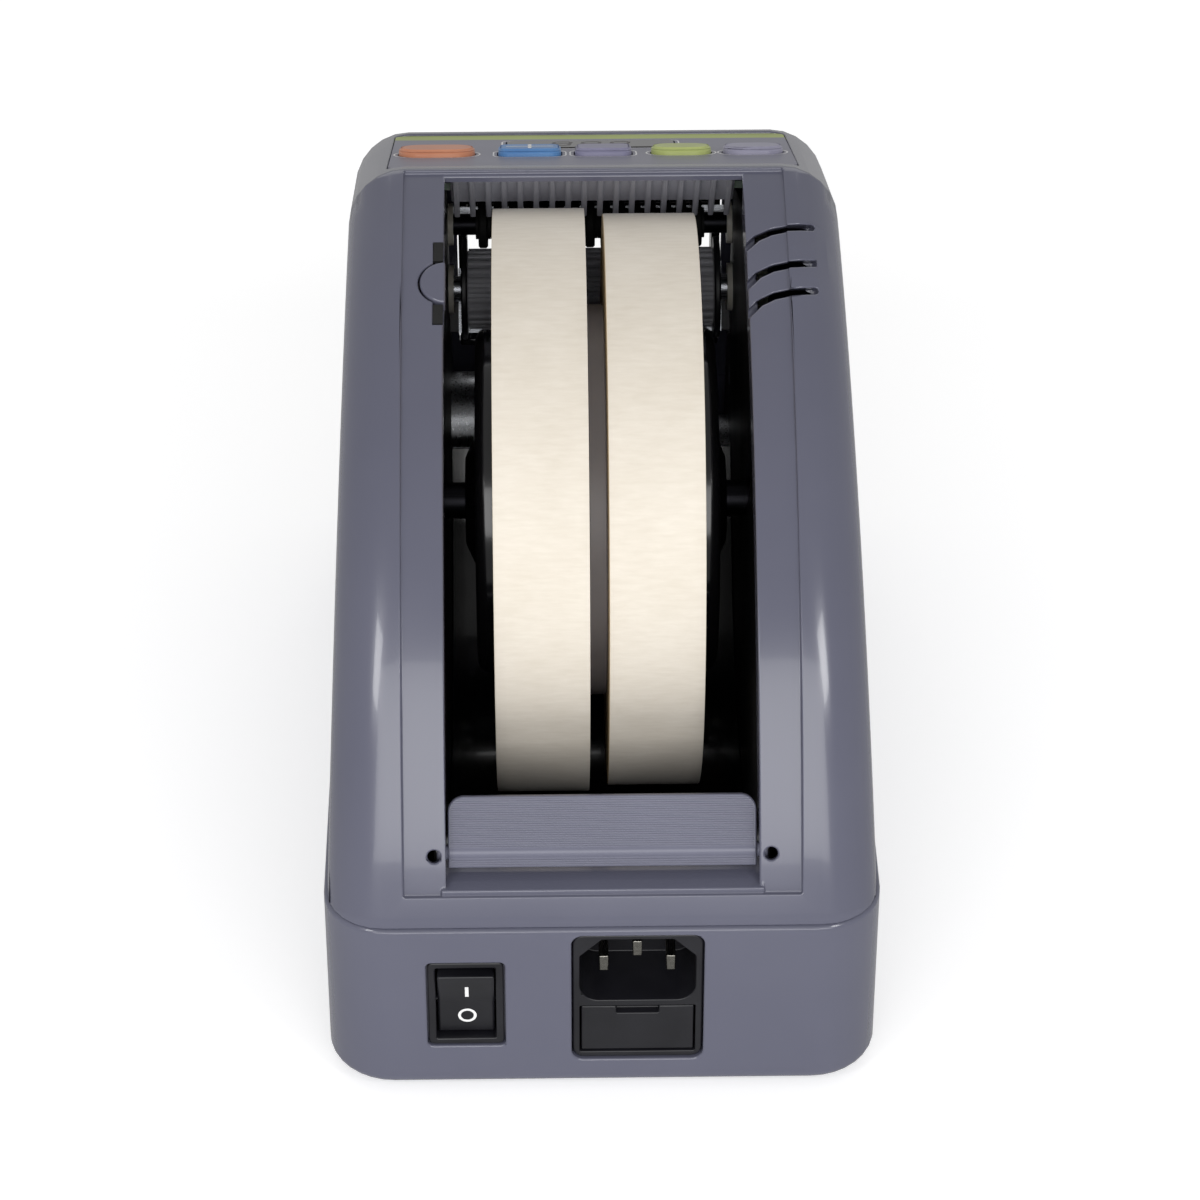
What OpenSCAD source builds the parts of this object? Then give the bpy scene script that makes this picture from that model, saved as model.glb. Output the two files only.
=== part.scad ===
// Electric tape dispenser for a shop counter, two rolls side by side.
// Millimetres, +Z up, tape exit towards -Y, mains side towards +Y, origin on the table.

/* [Case] */
// Width of the lower case
body_w = 116; // [112:1:124]
// Length of the lower case
body_l = 210; // [208:1:220]
// Height of the ridge behind the control panel
body_h = 148; // [146:1:152]
// Height of the joint between the lower and the upper case
seam_z = 45; // [44:1:47]
// Wall thickness of both cases
wall = 2.5; // [2:0.1:3]
// Plan radius of the lower case corners
corner_r = 14; // [11:1:16]
// Radius where the sides of the upper case turn into its top and back
edge_r = 12; // [9:1:13]
// Inward lean of the upper case sides, in degrees
side_draft = 2.5; // [1.5:0.25:3]
// Height of the rubber feet
foot_h = 2; // [1.5:0.5:3]

/* [Rear opening] */
// Width of the opening over the rolls
opening_w = 64.5; // [62:0.5:65]
// Width of the inset frame round the opening
inset_w = 82; // [78:1:84]
// Depth of the inset frame
inset_step = 0.8; // [0.4:0.1:1]
// Half of the angle that the rear curve of the case turns through
rear_half = 30; // [27:0.5:32]

/* [Control panel] */
// Length of the panel from the ridge to the front edge
panel_len = 72; // [70:1:74]
// Slope of the panel, in degrees
panel_tilt = 24; // [22:0.5:26]
// Width of the panel pocket
panel_w = 90; // [86:1:92]
// Height of the keys over the panel foil
key_rise = 1.7; // [1.2:0.1:2.4]
// Press travel of the keys
key_travel = 0.8; // [0.5:0.1:0.9]

/* [Tape] */
// Width of one roll
tape_w = 20; // [12:1:21]
// Outside diameter of the fuller roll
tape_od = 128; // [100:1:130]
// Outside diameter of the other roll
second_od = 125.5; // [95:0.5:128]
// Bore of the cardboard core
core_id = 76.2; // [74:0.1:77]
// Wall of the cardboard core
core_wall = 3; // [1.5:0.5:4]
// Width of the ring between the rolls
spacer_w = 4; // [2:0.5:6]

/* [Feed head] */
// Distance of the roller nip in front of the origin
nip_set = 78; // [77:0.5:79]
// Height of the roller nip
nip_z = 95.8; // [95:0.2:97]
// Slope of the tape path down to the exit, in degrees
head_tilt = 32; // [30:0.5:34]
// Teeth of the feed drum gear
drum_teeth = 19; // [18:1:20]
// Teeth of the pinch roller gear
roller_teeth = 11; // [11:1:13]
// Number of rubber rings on the pinch roller
ring_count = 15; // [7:2:15]
// Width of one rubber ring
ring_w = 2.2; // [1.6:0.2:2.8]
// Stroke of the moving blade
blade_stroke = 8.4; // [7.6:0.2:8.8]
// Height of the open tape path between the blades
path_gap = 7.2; // [6:0.2:7.4]

/* [Mains side] */
// Distance of the inlet from the middle, towards -X
inlet_x = 7.2; // [2:0.2:9]
// Distance of the power switch from the middle, towards +X
switch_x = 28.6; // [26:0.2:30]
// Tilt of the power switch to either side, in degrees
switch_tilt = 10; // [6:1:12]
// Pull-out travel of the fuse drawer
fuse_travel = 14; // [8:1:18]

/* [Hidden] */
$fn = 64;

// Clearances
running = 0.05;
fit = 0.3;
seat = 0.02;

// Colours
case_grey = "#6f6f7d";
black_plastic = "#1b1b1e";
steel = "#b9bcc2";
board_green = "#2c5a3c";

// Case form
case_step = 0.8;
front_set = 3;
rear_rise = 2;
ridge_set = 27;
ridge_r = 5;
form_drop = 30;
half_w = body_w / 2 - case_step;
draft_k = tan(side_draft);
ridge = [-ridge_set, body_h];
panel_front = ridge - panel_len * [cos(panel_tilt), sin(panel_tilt)];
front_seam = [-(body_l / 2 - front_set), seam_z];
front_low = front_seam + (front_seam - panel_front) * form_drop / (panel_front[1] - seam_z);
rear_foot = [body_l / 2 - case_step, seam_z + rear_rise];
rear_low = [rear_foot[0], seam_z - form_drop];
chord = ridge - rear_foot;
rear_r = norm(chord) / (2 * sin(rear_half));
rear_c = (ridge + rear_foot) / 2 + [-chord[1], chord[0]] / norm(chord) * rear_r * cos(rear_half);
ridge_a = atan2(ridge[1] - rear_c[1], ridge[0] - rear_c[0]);
foot_a = atan2(rear_foot[1] - rear_c[1], rear_foot[0] - rear_c[0]);
floor_z = foot_h + wall;

// Angles on the rear curve, each set from an end of the curve
sill_a = foot_a + 2.2;
border_a = foot_a + 1.8;
flap_a = foot_a + 4.7;
flap_top_a = foot_a + 8.9;
latch_a = ridge_a - 11.5;
vent_a = [for (d = [7.0, 10.6, 13.2]) ridge_a - d];

// Panel stack, measured down from the panel plane
pocket_in = 5.4;
pocket_out = panel_len - 6;
pocket_depth = 1.2;
foil_t = 0.7;
key_flange_t = 0.8;
board_depth = 6.2;
board_t = 1.6;
key_s = 30;
display_s = 47;
display_w = 38;
display_l = 13;
// Each key: distance from the middle, width, length along the slope, corner radius
key_orange = [34.5, 17, 11, 5.4];
key_blue = [13.8, 14, 10, 2.5];
key_grey = [-2.6, 12.6, 10, 2.5];
key_lime = [-20, 13.4, 9.4, 4.6];
key_plain = [-36, 13.4, 9.4, 4.6];
keys = [key_orange, key_blue, key_grey, key_lime, key_plain];
panel_posts = [for (x = [-38, 38], s = [41, 55]) [x, s]];

// Feed head
module_mm = 1;
drum_r = (drum_teeth * module_mm - fit) / 2;
roller_r = (roller_teeth * module_mm - fit) / 2;
nip = [-nip_set, nip_z];
function turned(p, a) = [p[0] * cos(a) - p[1] * sin(a), p[0] * sin(a) + p[1] * cos(a)];
function in_head_yz(y, z) = nip + turned([y, z], head_tilt);
drum_c = in_head_yz(0, -drum_teeth * module_mm / 2);
roller_c = in_head_yz(0, roller_teeth * module_mm / 2);
shaft_r = 3;
roller_shaft_r = 2.5;
frame_x = 33;
frame_t = 2;
frame_out = frame_x + frame_t;
gear_x = 37;
gear_t = 4;
idler_teeth = 36;
pinion_teeth = 12;
crank_teeth = 30;
idler_dir = -98;
feed_dir = -82;
idler_c = drum_c + (drum_teeth + idler_teeth) / 2 * module_mm * [cos(idler_dir), sin(idler_dir)];
feed_c = idler_c + (idler_teeth + pinion_teeth) / 2 * module_mm * [cos(feed_dir), sin(feed_dir)];
blade_y = -12.2;
blade_t = 2;
carriage_y = blade_y - blade_t - 2.8;
carriage_mid = carriage_y + 1.4;
yoke_z = -27;
crank_throw = blade_stroke / 2;
crank_c = in_head_yz(carriage_mid, yoke_z + crank_throw);
crank_pin_r = 1.5;
yoke_x = 36.6;
yoke_t = 2.4;
yoke_h = 16;
crank_x = 40.5;
cutter_dir = -85;
cutter_c = crank_c + (crank_teeth + pinion_teeth) / 2 * module_mm * [cos(cutter_dir), sin(cutter_dir)];
motor_r = 12;
motor_in = 6;
motor_shaft_r = 1.25;
motor_boss_r = 4;

// Reel
reel_gap = 3;
reel_dir = -4.8;
reel_c = drum_c + (tape_od / 2 + drum_r + reel_gap) * [cos(reel_dir), sin(reel_dir)];
hub_r = core_id / 2 - fit;
axle_r = 4;
axle_end = 36.5;
cap_w = 4;
stack_half = spacer_w / 2 + tape_w;
tray_r = tape_od / 2 + 4;
tray_t = 2;
comb_r = tape_od / 2 + 2.3;
comb_a = 140;
comb_t = 1.6;
guide_l = 40;
rib_pitch = 3.55;
rib_w = 1.2;
rib_h = 1.0;

// Mains side
inlet_z = 26.1;
inlet_w = 27;
inlet_h = 33.6;
inlet_depth = 24;
rear_y = body_l / 2;
inlet_face = rear_y - 0.6;
socket_w = 24.2;
socket_h = 16.6;
socket_r = 4;
socket_z = inlet_z + inlet_h / 2 - 1.2 - socket_h / 2;
socket_depth = 15.5;
pin_pitch = 14;
fuse_w = 24.2;
fuse_h = 12.8;
fuse_z = inlet_z - inlet_h / 2 + 1.4 + fuse_h / 2;
switch_z = 24.7;
switch_w = 15.8;
switch_h = 22.4;
switch_lip = 1.6;
switch_face = rear_y - 0.4;
switch_depth = 18;
rocker_w = 11.8;
rocker_h = 18;
rocker_pin = rocker_w / 2 + 0.7;
rocker_axis = switch_face - 2.6;

// Fasteners
case_post_x = body_w / 2 - 8.5;
case_post_y = body_l / 2 - 17;
case_post_r = 4.5;
case_post_top = seam_z + 7;
case_hole_top = case_post_top - 1;
screw_seat_z = seam_z - 9;
frame_post_x = 40;
frame_posts = [-52, 44];
frame_foot_z = floor_z + 2.5;
board_posts = [for (x = [-27, 27], y = [-64, -94]) [x, y]];
board_z = floor_z + 4.5;

// Helpers
module yz(h) rotate([90, 0, 90]) linear_extrude(h) children();
module yz_mid(h) translate([-h / 2, 0, 0]) yz(h) children();
module at_yz(p) translate([0, p[0], p[1]]) children();
module rod(r, x0, x1) translate([x0, 0, 0]) rotate([0, 90, 0]) cylinder(r = r, h = x1 - x0);
module both() { children(); mirror([1, 0, 0]) children(); }
module in_head() translate([0, nip[0], nip[1]]) rotate([head_tilt, 0, 0]) children();
module in_panel() translate([0, ridge[0], ridge[1]]) rotate([panel_tilt, 0, 0]) children();
function on_rear(inset, a) = rear_c + (rear_r - inset) * [cos(a), sin(a)];
module on_rail(a) at_yz(on_rear(0, a)) rotate([a - 90, 0, 0]) children();

// Rounded rectangle made of true arcs
module round_rect(w, h, r) {
  square([w - 2 * r, h], center = true);
  square([w, h - 2 * r], center = true);
  for (x = [-1, 1], y = [-1, 1]) translate([x * (w / 2 - r), y * (h / 2 - r)]) circle(r);
}

// Wedge of the side view seen from centre c between two angles
module wedge(c, a0, a1) {
  reach = 2 * body_l;
  polygon([c, c + reach * [cos(a0), sin(a0)], c + reach * [cos(a1), sin(a1)]]);
}

// Part of a ring round centre c
module ring_part(c, r0, r1, a0, a1) intersection() {
  translate(c) difference() {
    circle(r1);
    circle(r0);
  }
  wedge(c, a0, a1);
}

// Side view of the upper case, with arcs that round the front edge, the ridge and the foot
function arc(c, r, a0, a1, n) = [for (k = [0:n]) c + turned([r, 0], a0 + (a1 - a0) * k / n)];
function way(v) = atan2(v[1], v[0]);
panel_a = 90 + panel_tilt;
panel_run = [cos(panel_tilt), sin(panel_tilt)];
front_a = 90 + way(panel_front - front_low);
front_sum = [cos(front_a) + cos(panel_a), sin(front_a) + sin(panel_a)];
front_mid = panel_front - front_sum * ridge_r / (1 + cos(front_a - panel_a));
ridge_in = ridge - ridge_r * [cos(panel_a), sin(panel_a)] - rear_c;
ridge_back = sqrt(pow(ridge_in * panel_run, 2) - ridge_in * ridge_in + pow(rear_r - ridge_r, 2));
ridge_mid = rear_c + ridge_in + panel_run * (ridge_back - ridge_in * panel_run);
foot_in = rear_foot[0] - ridge_r - rear_c[0];
foot_mid = rear_c + [foot_in, sqrt(pow(rear_r - ridge_r, 2) - pow(foot_in, 2))];
ridge_end = way(ridge_mid - rear_c);
foot_end = way(foot_mid - rear_c);

module case_profile(steps) polygon(concat(
  [front_low],
  arc(front_mid, ridge_r, front_a, panel_a, 6),
  arc(ridge_mid, ridge_r, panel_a, ridge_end, 4),
  [for (k = [1:steps - 1]) on_rear(0, ridge_end + (foot_end - ridge_end) * k / steps)],
  arc(foot_mid, ridge_r, foot_end, 0, 2),
  [rear_low]));

// Slice of the case, narrowing inwards so that only its outer edge shapes the hull
module case_slice(inset, x, steps)
  multmatrix([[1, 0, -draft_k, x + draft_k * seam_z], [0, 1, 0, 0], [0, 0, 1, 0], [0, 0, 0, 1]])
    translate([0, 0, body_h / 2]) rotate([90, 0, 90]) mirror([0, 0, 1]) linear_extrude(1, scale = 0.9)
      translate([0, -body_h / 2]) offset(delta = -inset) case_profile(steps);

module case_form(inset, r, turn, steps) hull() both()
  for (t = [0:turn:90]) case_slice(inset + r * (1 - sin(t)), half_w - inset - r * (1 - cos(t)), steps);

// Spur gear with involute flanks
pressure_a = 20;
function inv_a(r, rb) = r <= rb ? 0 : sqrt(pow(r / rb, 2) - 1) * 180 / PI - acos(rb / r);
backlash = 0.11;
function flank_a(r, rp, n) = 90 / n - backlash / rp * 180 / PI
  + inv_a(rp, rp * cos(pressure_a)) - inv_a(r, rp * cos(pressure_a));
function polar(r, a) = [r * cos(a), r * sin(a)];
module gear_shape(n) {
  rp = n * module_mm / 2;
  rr = [rp - 1.2 * module_mm, rp - 0.35 * module_mm, rp, rp + 0.4 * module_mm, rp + 0.85 * module_mm];
  polygon([for (k = [0:n - 1]) each concat(
    [for (i = [0:4]) polar(rr[i], k * 360 / n - flank_a(rr[i], rp, n))],
    [for (i = [4:-1:0]) polar(rr[i], k * 360 / n + flank_a(rr[i], rp, n))])]);
}
function dir_a(p, q) = atan2(q[1] - p[1], q[0] - p[0]);
function mesh_a(dir, a, n1, n2) = dir + 180 + (dir - a) * n1 / n2 + 180 / n2;
drum_gear_a = dir_a(drum_c, roller_c);
roller_gear_a = mesh_a(drum_gear_a, drum_gear_a, drum_teeth, roller_teeth);
idler_gear_a = mesh_a(idler_dir, drum_gear_a, drum_teeth, idler_teeth);
feed_pinion_a = mesh_a(feed_dir, idler_gear_a, idler_teeth, pinion_teeth);
crank_gear_a = cutter_dir;
cutter_pinion_a = mesh_a(cutter_dir, crank_gear_a, crank_teeth, pinion_teeth);

module gear(n, a, bore, x0) translate([x0, 0, 0]) difference() {
  yz(gear_t) rotate(a) gear_shape(n);
  rod(bore, -1, gear_t + 1);
}

// Lower case
module base_post(r, z0, z1, low, top) {
  arc = [for (a = [0:15:90]) [r - low + low * sin(a), z0 + low - low * cos(a)]];
  rotate_extrude($fn = 32) polygon(concat([[0, z0]], arc, [[r, z1 - top], [r - top, z1], [0, z1]]));
}
module base_block(inset, z0, z1, low, top) {
  r = corner_r - inset;
  hull() for (x = [-1, 1], y = [-1, 1])
    translate([x * (body_w / 2 - corner_r), y * (body_l / 2 - corner_r), 0]) base_post(r, z0, z1, low, top);
}
module to_rear(y) translate([0, y, 0]) rotate([90, 0, 0]) children();
module inlet_outline(grow) translate([-inlet_x, inlet_z])
  round_rect(inlet_w + 2 * grow, inlet_h + 2 * grow, 2.5);
module switch_outline(grow) translate([switch_x, switch_z])
  round_rect(switch_w + 2 * grow, switch_h + 2 * grow, 1.2);

module base_shell() color(case_grey) {
  switch_pad = 3;
  difference() {
    union() {
      difference() {
        base_block(0, foot_h, seam_z, 3, 0.7);
        base_block(wall, floor_z, seam_z + 1, 2, 0);
      }
      to_rear(rear_y - wall + 0.2) linear_extrude(switch_pad) switch_outline(3);
      for (x = [-1, 1], y = [-1, 1]) translate([x * case_post_x, y * case_post_y, foot_h + 1])
        cylinder(r = case_post_r, h = seam_z - foot_h - 1);
      for (x = [-1, 1], y = frame_posts) translate([x * frame_post_x, y, floor_z - 0.5])
        cylinder(r = 4, h = frame_foot_z - floor_z + 0.5);
      for (p = board_posts) translate([p[0], p[1], floor_z - 0.5])
        cylinder(r = 2.6, h = board_z - floor_z + 0.5);
      both() translate([18, reel_c[0] - 9, floor_z - 0.5]) difference() {
        cube([2, 18, tape_od]);
        translate([0, 9, reel_c[1] - floor_z + 0.5]) rod(tray_r + tray_t + 0.1, -1, 3);
        translate([-1, -1, reel_c[1] - floor_z]) cube([4, 20, tape_od]);
      }
    }
    to_rear(rear_y + 1) linear_extrude(wall + 2) inlet_outline(fit);
    to_rear(rear_y + 1) linear_extrude(1 + switch_lip + 0.4) switch_outline(fit);
    to_rear(rear_y + 1) linear_extrude(switch_pad + wall + 2) switch_outline(fit - 1);
    for (x = [-1, 1], y = [-1, 1]) translate([x * case_post_x, y * case_post_y, foot_h - 1]) {
      cylinder(r = 1.7, h = seam_z);
      cylinder(r = 3.2, h = screw_seat_z - foot_h + 1);
    }
    for (x = [-1, 1], y = frame_posts) translate([x * frame_post_x, y, floor_z - 1])
      cylinder(r = 1.3, h = 10);
    for (p = foot_spots) translate([p[0], p[1], foot_h - 1]) cylinder(r = foot_r + 0.2, h = 1.8);
  }
}

foot_r = 7;
foot_spots = [for (x = [-1, 1], y = [-1, 1]) [x * (body_w / 2 - 26), y * (body_l / 2 - 15)]];
module rubber_feet() color(black_plastic)
  for (p = foot_spots) translate([p[0], p[1], 0]) {
    cylinder(r1 = foot_r - 0.6, r2 = foot_r, h = 0.6);
    translate([0, 0, 0.6]) cylinder(r = foot_r, h = foot_h + 0.2);
  }

module case_screws() color(steel)
  for (x = [-1, 1], y = [-1, 1]) translate([x * case_post_x, y * case_post_y, 0]) {
    translate([0, 0, screw_seat_z - 2.5]) cylinder(r = 2.9, h = 2.5);
    translate([0, 0, screw_seat_z - 0.1]) cylinder(r = 1.4, h = case_hole_top - screw_seat_z - 0.4);
  }

// Upper case
module skin_cut(deep, a0, a1) ring_part(rear_c, rear_r - deep, rear_r + 2 * ridge_r, a0, a1);

module vent_slot(a) {
  vent_r = 0.75;
  vent_lean = 30;
  // Each row: distance from the middle, distance down the rail
  spots = [[opening_w / 2 - 2, 6.8], [34.5, 2], [37.6, 0.2], [41, -0.7], [46.4, -1.2]];
  at = function(p) a - p[1] / rear_r * 180 / PI;
  for (k = [0:len(spots) - 2]) hull() for (p = [spots[k], spots[k + 1]])
    on_rail(at(p)) translate([-p[0], 0, 0]) rotate([-vent_lean, 0, 0])
      cylinder(r = vent_r, h = 10, center = true, $fn = 8);
}

module latch_shape(grow) intersection() {
  translate([opening_w / 2 - 0.4, 0]) circle(5.4 + grow);
  translate([opening_w / 2 - 0.4 - 2 * grow, -10]) square([20, 20]);
}

module panel_hole(k, grow) translate([k[0], -key_s])
  round_rect(k[1] + 2 * grow, k[2] + 2 * grow, k[3] + grow);
module display_hole(grow) translate([0, -display_s])
  round_rect(display_w + 2 * grow, display_l + 2 * grow, 1.5);

module pocket_shape(inset) translate([0, -(pocket_in + pocket_out) / 2])
  round_rect(panel_w - 2 * inset, pocket_out - pocket_in - 2 * inset, 3);

mouth_w = 62.6;
mouth_low = 57;
mouth_high = 101.5;

module upper_shell() color(case_grey) {
  rim_t = 2;
  latch_slot = 22;
  sill_l = 12;
  sill = on_rear(0, sill_a);
  difference() {
    union() {
      difference() {
        case_form(0, edge_r, 15, 22);
        case_form(wall, edge_r - wall, 45, 12);
        translate([-body_w, -body_l, seam_z - 2 * form_drop]) cube([2 * body_w, 2 * body_l, 2 * form_drop]);
        yz_mid(opening_w) skin_cut(wall + 4, sill_a, ridge_a - 0.5);
        yz_mid(inset_w) skin_cut(inset_step, border_a, ridge_a - 0.2);
        in_panel() translate([0, 0, -pocket_depth]) linear_extrude(10) pocket_shape(0, $fn = 20);
        translate([-mouth_w / 2, -body_l, mouth_low])
          cube([mouth_w, body_l - nip_set, mouth_high - mouth_low]);
      }
      both() translate([opening_w / 2, 0, 0]) yz(rim_t)
        ring_part(rear_c, rear_r - 10, rear_r - inset_step - 0.2, sill_a, ridge_a - 1.5);
      translate([-opening_w / 2 - rim_t / 2, sill[0] - sill_l, sill[1] - wall])
        cube([opening_w + rim_t, sill_l - 0.2, wall]);
      both() for (y = [-1, 1]) translate([case_post_x, y * case_post_y, seam_z]) {
        cylinder(r = 4, h = case_post_top - seam_z, $fn = 24);
        translate([0, -1, 0]) cube([half_w - case_post_x - wall / 2, 2, case_post_top - seam_z - 2]);
      }
      in_panel() for (p = panel_posts) translate([p[0], -p[1], -board_depth])
        cylinder(r = 3, h = board_depth - pocket_depth - 0.4, $fn = 20);
    }
    for (a = vent_a) vent_slot(a);
    on_rail(latch_a) translate([0, 0, -7]) {
      linear_extrude(12) latch_shape(0.4, $fn = 40);
      translate([opening_w / 2 - 1, -latch_slot / 2, 0]) cube([rim_t + 1.2, latch_slot, 12]);
    }
    both() at_yz(on_rear(5.2, flap_a)) rod(1.5 + 0.15, 30, opening_w / 2 + 5, $fn = 32);
    both() on_rail(flap_a) translate([opening_w / 2 + 2.4, 0, -5.2]) cylinder(r = 1.4, h = 8, $fn = 24);
    in_panel() for (k = keys) translate([0, 0, -6]) linear_extrude(12) panel_hole(k, fit, $fn = 28);
    in_panel() translate([0, 0, -6]) linear_extrude(12) display_hole(fit, $fn = 16);
    both() for (y = [-1, 1]) translate([case_post_x, y * case_post_y, seam_z - 1])
      cylinder(r = 1.6, h = case_hole_top - seam_z + 1, $fn = 16);
    in_panel() for (p = panel_posts) translate([p[0], -p[1], -board_depth - 1])
      cylinder(r = 1.1, h = 5, $fn = 16);
  }
}

// Slope that hangs from the ridge and is tangent to the clearance of the fuller roll
module guide_strip(inner, tip) under_ridge() translate(reel_c) rotate(comb_a)
  translate([inner, -guide_l]) square([comb_r + rib_h + comb_t - inner, guide_l + tip]);

module ribbed_tape_guide() color(case_grey) {
  tooth_back = -5;
  tooth_tip = 3;
  guide_w = opening_w - 2;
  count = floor((guide_w - rib_w) / rib_pitch);
  yz_mid(guide_w) guide_strip(comb_r + rib_h, tooth_back);
  for (k = [0:count]) translate([(k - count / 2) * rib_pitch, 0, 0])
    yz_mid(rib_w) guide_strip(comb_r, tooth_tip);
}

// What lies below the skin of the panel and of the rear curve
module under_ridge() intersection() {
  translate(rear_c) circle(rear_r - wall - fit);
  translate(ridge) rotate(panel_tilt) translate([-body_l, -body_l - wall - fit])
    square([2 * body_l, body_l]);
  children();
}

// Control panel
module panel_foil() color("#8d8d99") in_panel()
  translate([0, 0, -pocket_depth]) linear_extrude(foil_t) difference() {
    pocket_shape(fit);
    for (k = keys) panel_hole(k, fit);
    display_hole(fit);
  }
module display_lens() color(black_plastic) in_panel()
  translate([0, 0, -wall]) linear_extrude(wall - pocket_depth + foil_t + 0.2) display_hole(0);
module display_module() color(black_plastic) in_panel()
  translate([-display_w / 2 - 2, -display_s - display_l / 2 - 2, -board_depth])
    cube([display_w + 4, display_l + 4, board_depth - wall - 0.2]);
module panel_board() color(board_green) in_panel()
  translate([0, 0, -board_depth - board_t]) linear_extrude(board_t) difference() {
    translate([-43, -58]) square([86, 33.5]);
    for (p = panel_posts) translate([p[0], -p[1]]) circle(1.3);
  }
module tact_switches() color(black_plastic) in_panel() {
  low = 1.2;
  plunger_h = board_depth - wall - fit - key_flange_t - key_travel - low - 0.1;
  for (k = keys) translate([k[0], -key_s, -board_depth]) {
    translate([-3, -3, 0]) cube([6, 6, low]);
    translate([0, 0, low]) cylinder(r = 1.6, h = plunger_h);
  }
}
module panel_screws() color(steel) in_panel()
  for (p = panel_posts) translate([p[0], -p[1], -board_depth - board_t]) {
    translate([0, 0, -1.6]) cylinder(r = 2.2, h = 1.6);
    cylinder(r = 0.95, h = board_t + 3.5);
  }
module panel_key(k) in_panel() {
  crown = 0.5;
  lip = 1;
  crown_z = foil_t - pocket_depth + key_rise - crown;
  translate([0, 0, -wall - 0.2]) linear_extrude(wall + 0.2 + crown_z) panel_hole(k, 0);
  translate([0, 0, crown_z]) linear_extrude(crown) panel_hole(k, -crown);
  translate([0, 0, -wall - fit - key_flange_t]) linear_extrude(key_flange_t + 0.1) {
    panel_hole(k, 0);
    translate([k[0], -key_s]) square([k[1] - 2 * k[3], k[2] + 2 * lip], center = true);
  }
}
module orange_key() color("#e8792b") panel_key(key_orange);
module blue_key() color("#5f7fc4") panel_key(key_blue);
module grey_key() color("#8a86a0") panel_key(key_grey);
module lime_key() color("#b5cf3c") panel_key(key_lime);
module plain_key() color("#a9a9b8") panel_key(key_plain);

// Side frames
module frame_outline() {
  under_panel = board_depth + board_t + 3;
  low_ridge = ridge + under_panel * [sin(panel_tilt), -cos(panel_tilt)];
  low_front = low_ridge - (panel_len - 14) * [cos(panel_tilt), sin(panel_tilt)];
  front_y = -body_l / 2 + 12;
  intersection() {
    polygon([[front_y, frame_foot_z], [front_y, seam_z + 8], low_front, low_ridge,
      [body_l / 2, body_h], [body_l / 2, seam_z + 6], [body_l / 2 - 26, seam_z + 2],
      [body_l / 2 - 26, frame_foot_z]]);
    translate(rear_c) circle(rear_r - 12);
  }
}
module frame_cuts() {
  slot_dir = 55;
  translate(reel_c) {
    circle(axle_r + 2 * running);
    rotate(slot_dir) translate([0, -axle_r - 2 * running]) square([body_h, 2 * axle_r + 4 * running]);
  }
  translate(drum_c) circle(bush_r + running);
  translate(roller_c) circle(roller_bush_r + running);
  translate(nip) rotate(head_tilt) translate([carriage_y - 0.4, -20.4]) square([3.6, 17.4]);
  for (p = tie_spots) translate(p) circle(tie_end_r + running);
}
bush_r = 4.6;
roller_bush_r = 3.9;
tie_r = 3;
tie_end_r = 2;
tie_spots = [[-body_l / 2 + 17, seam_z - 15], [reel_c[0] - 30, frame_foot_z + 5],
  [reel_c[0] + 55, frame_foot_z + 22]];

module frame_plate() {
  difference() {
    translate([frame_x, 0, 0]) yz(frame_t) difference() {
      frame_outline();
      frame_cuts();
    }
    children();
  }
  for (y = frame_posts) difference() {
    translate([frame_out - 0.5, y - 6, frame_foot_z]) cube([10.5, 12, frame_t]);
    translate([frame_post_x, y, frame_foot_z - 1]) cylinder(r = 1.7, h = frame_t + 2);
  }
}
module left_frame() color(black_plastic) frame_plate() at_yz(cutter_c) rod(motor_boss_r + 0.2, 30, 40);
module right_frame() color(black_plastic) mirror([1, 0, 0]) frame_plate() {
  at_yz(feed_c) rod(motor_boss_r + 0.2, 30, 40);
  at_yz(idler_c) rod(2.5 + running, 30, 40);
}
module frame_screws() color(steel) for (x = [-1, 1], y = frame_posts) translate([x * frame_post_x, y, 0]) {
  translate([0, 0, frame_foot_z + frame_t]) cylinder(r = 2.8, h = 2);
  translate([0, 0, floor_z - 0.4]) cylinder(r = 1.2, h = frame_foot_z + frame_t - floor_z + 0.5);
}
module frame_tie_rods() color(steel) for (p = tie_spots) at_yz(p) {
  rod(tie_r, -frame_x, frame_x);
  rod(tie_end_r, -frame_out - 0.6, frame_out + 0.6);
}
module shaft_bushes() color("#c9a45a") both() {
  at_yz(drum_c) difference() {
    union() {
      rod(bush_r, frame_x - 0.6, frame_out + 0.8);
      rod(bush_r + 1, frame_x - 1.2, frame_x);
    }
    rod(shaft_r + running, frame_x - 3, frame_out + 3);
  }
  at_yz(roller_c) difference() {
    union() {
      rod(roller_bush_r, frame_x - 0.6, frame_out + 0.8);
      rod(roller_bush_r + 1, frame_x - 1.2, frame_x);
    }
    rod(roller_shaft_r + running, frame_x - 3, frame_out + 3);
  }
}
module bay_tray() color(black_plastic) {
  tray_w = 2 * frame_x - 0.2;
  yz_mid(tray_w) ring_part(reel_c, tray_r, tray_r + tray_t, 205, 270);
  yz_mid(tray_w) ring_part(reel_c, tray_r, tray_r + tray_t, 270, 322);
}

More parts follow.
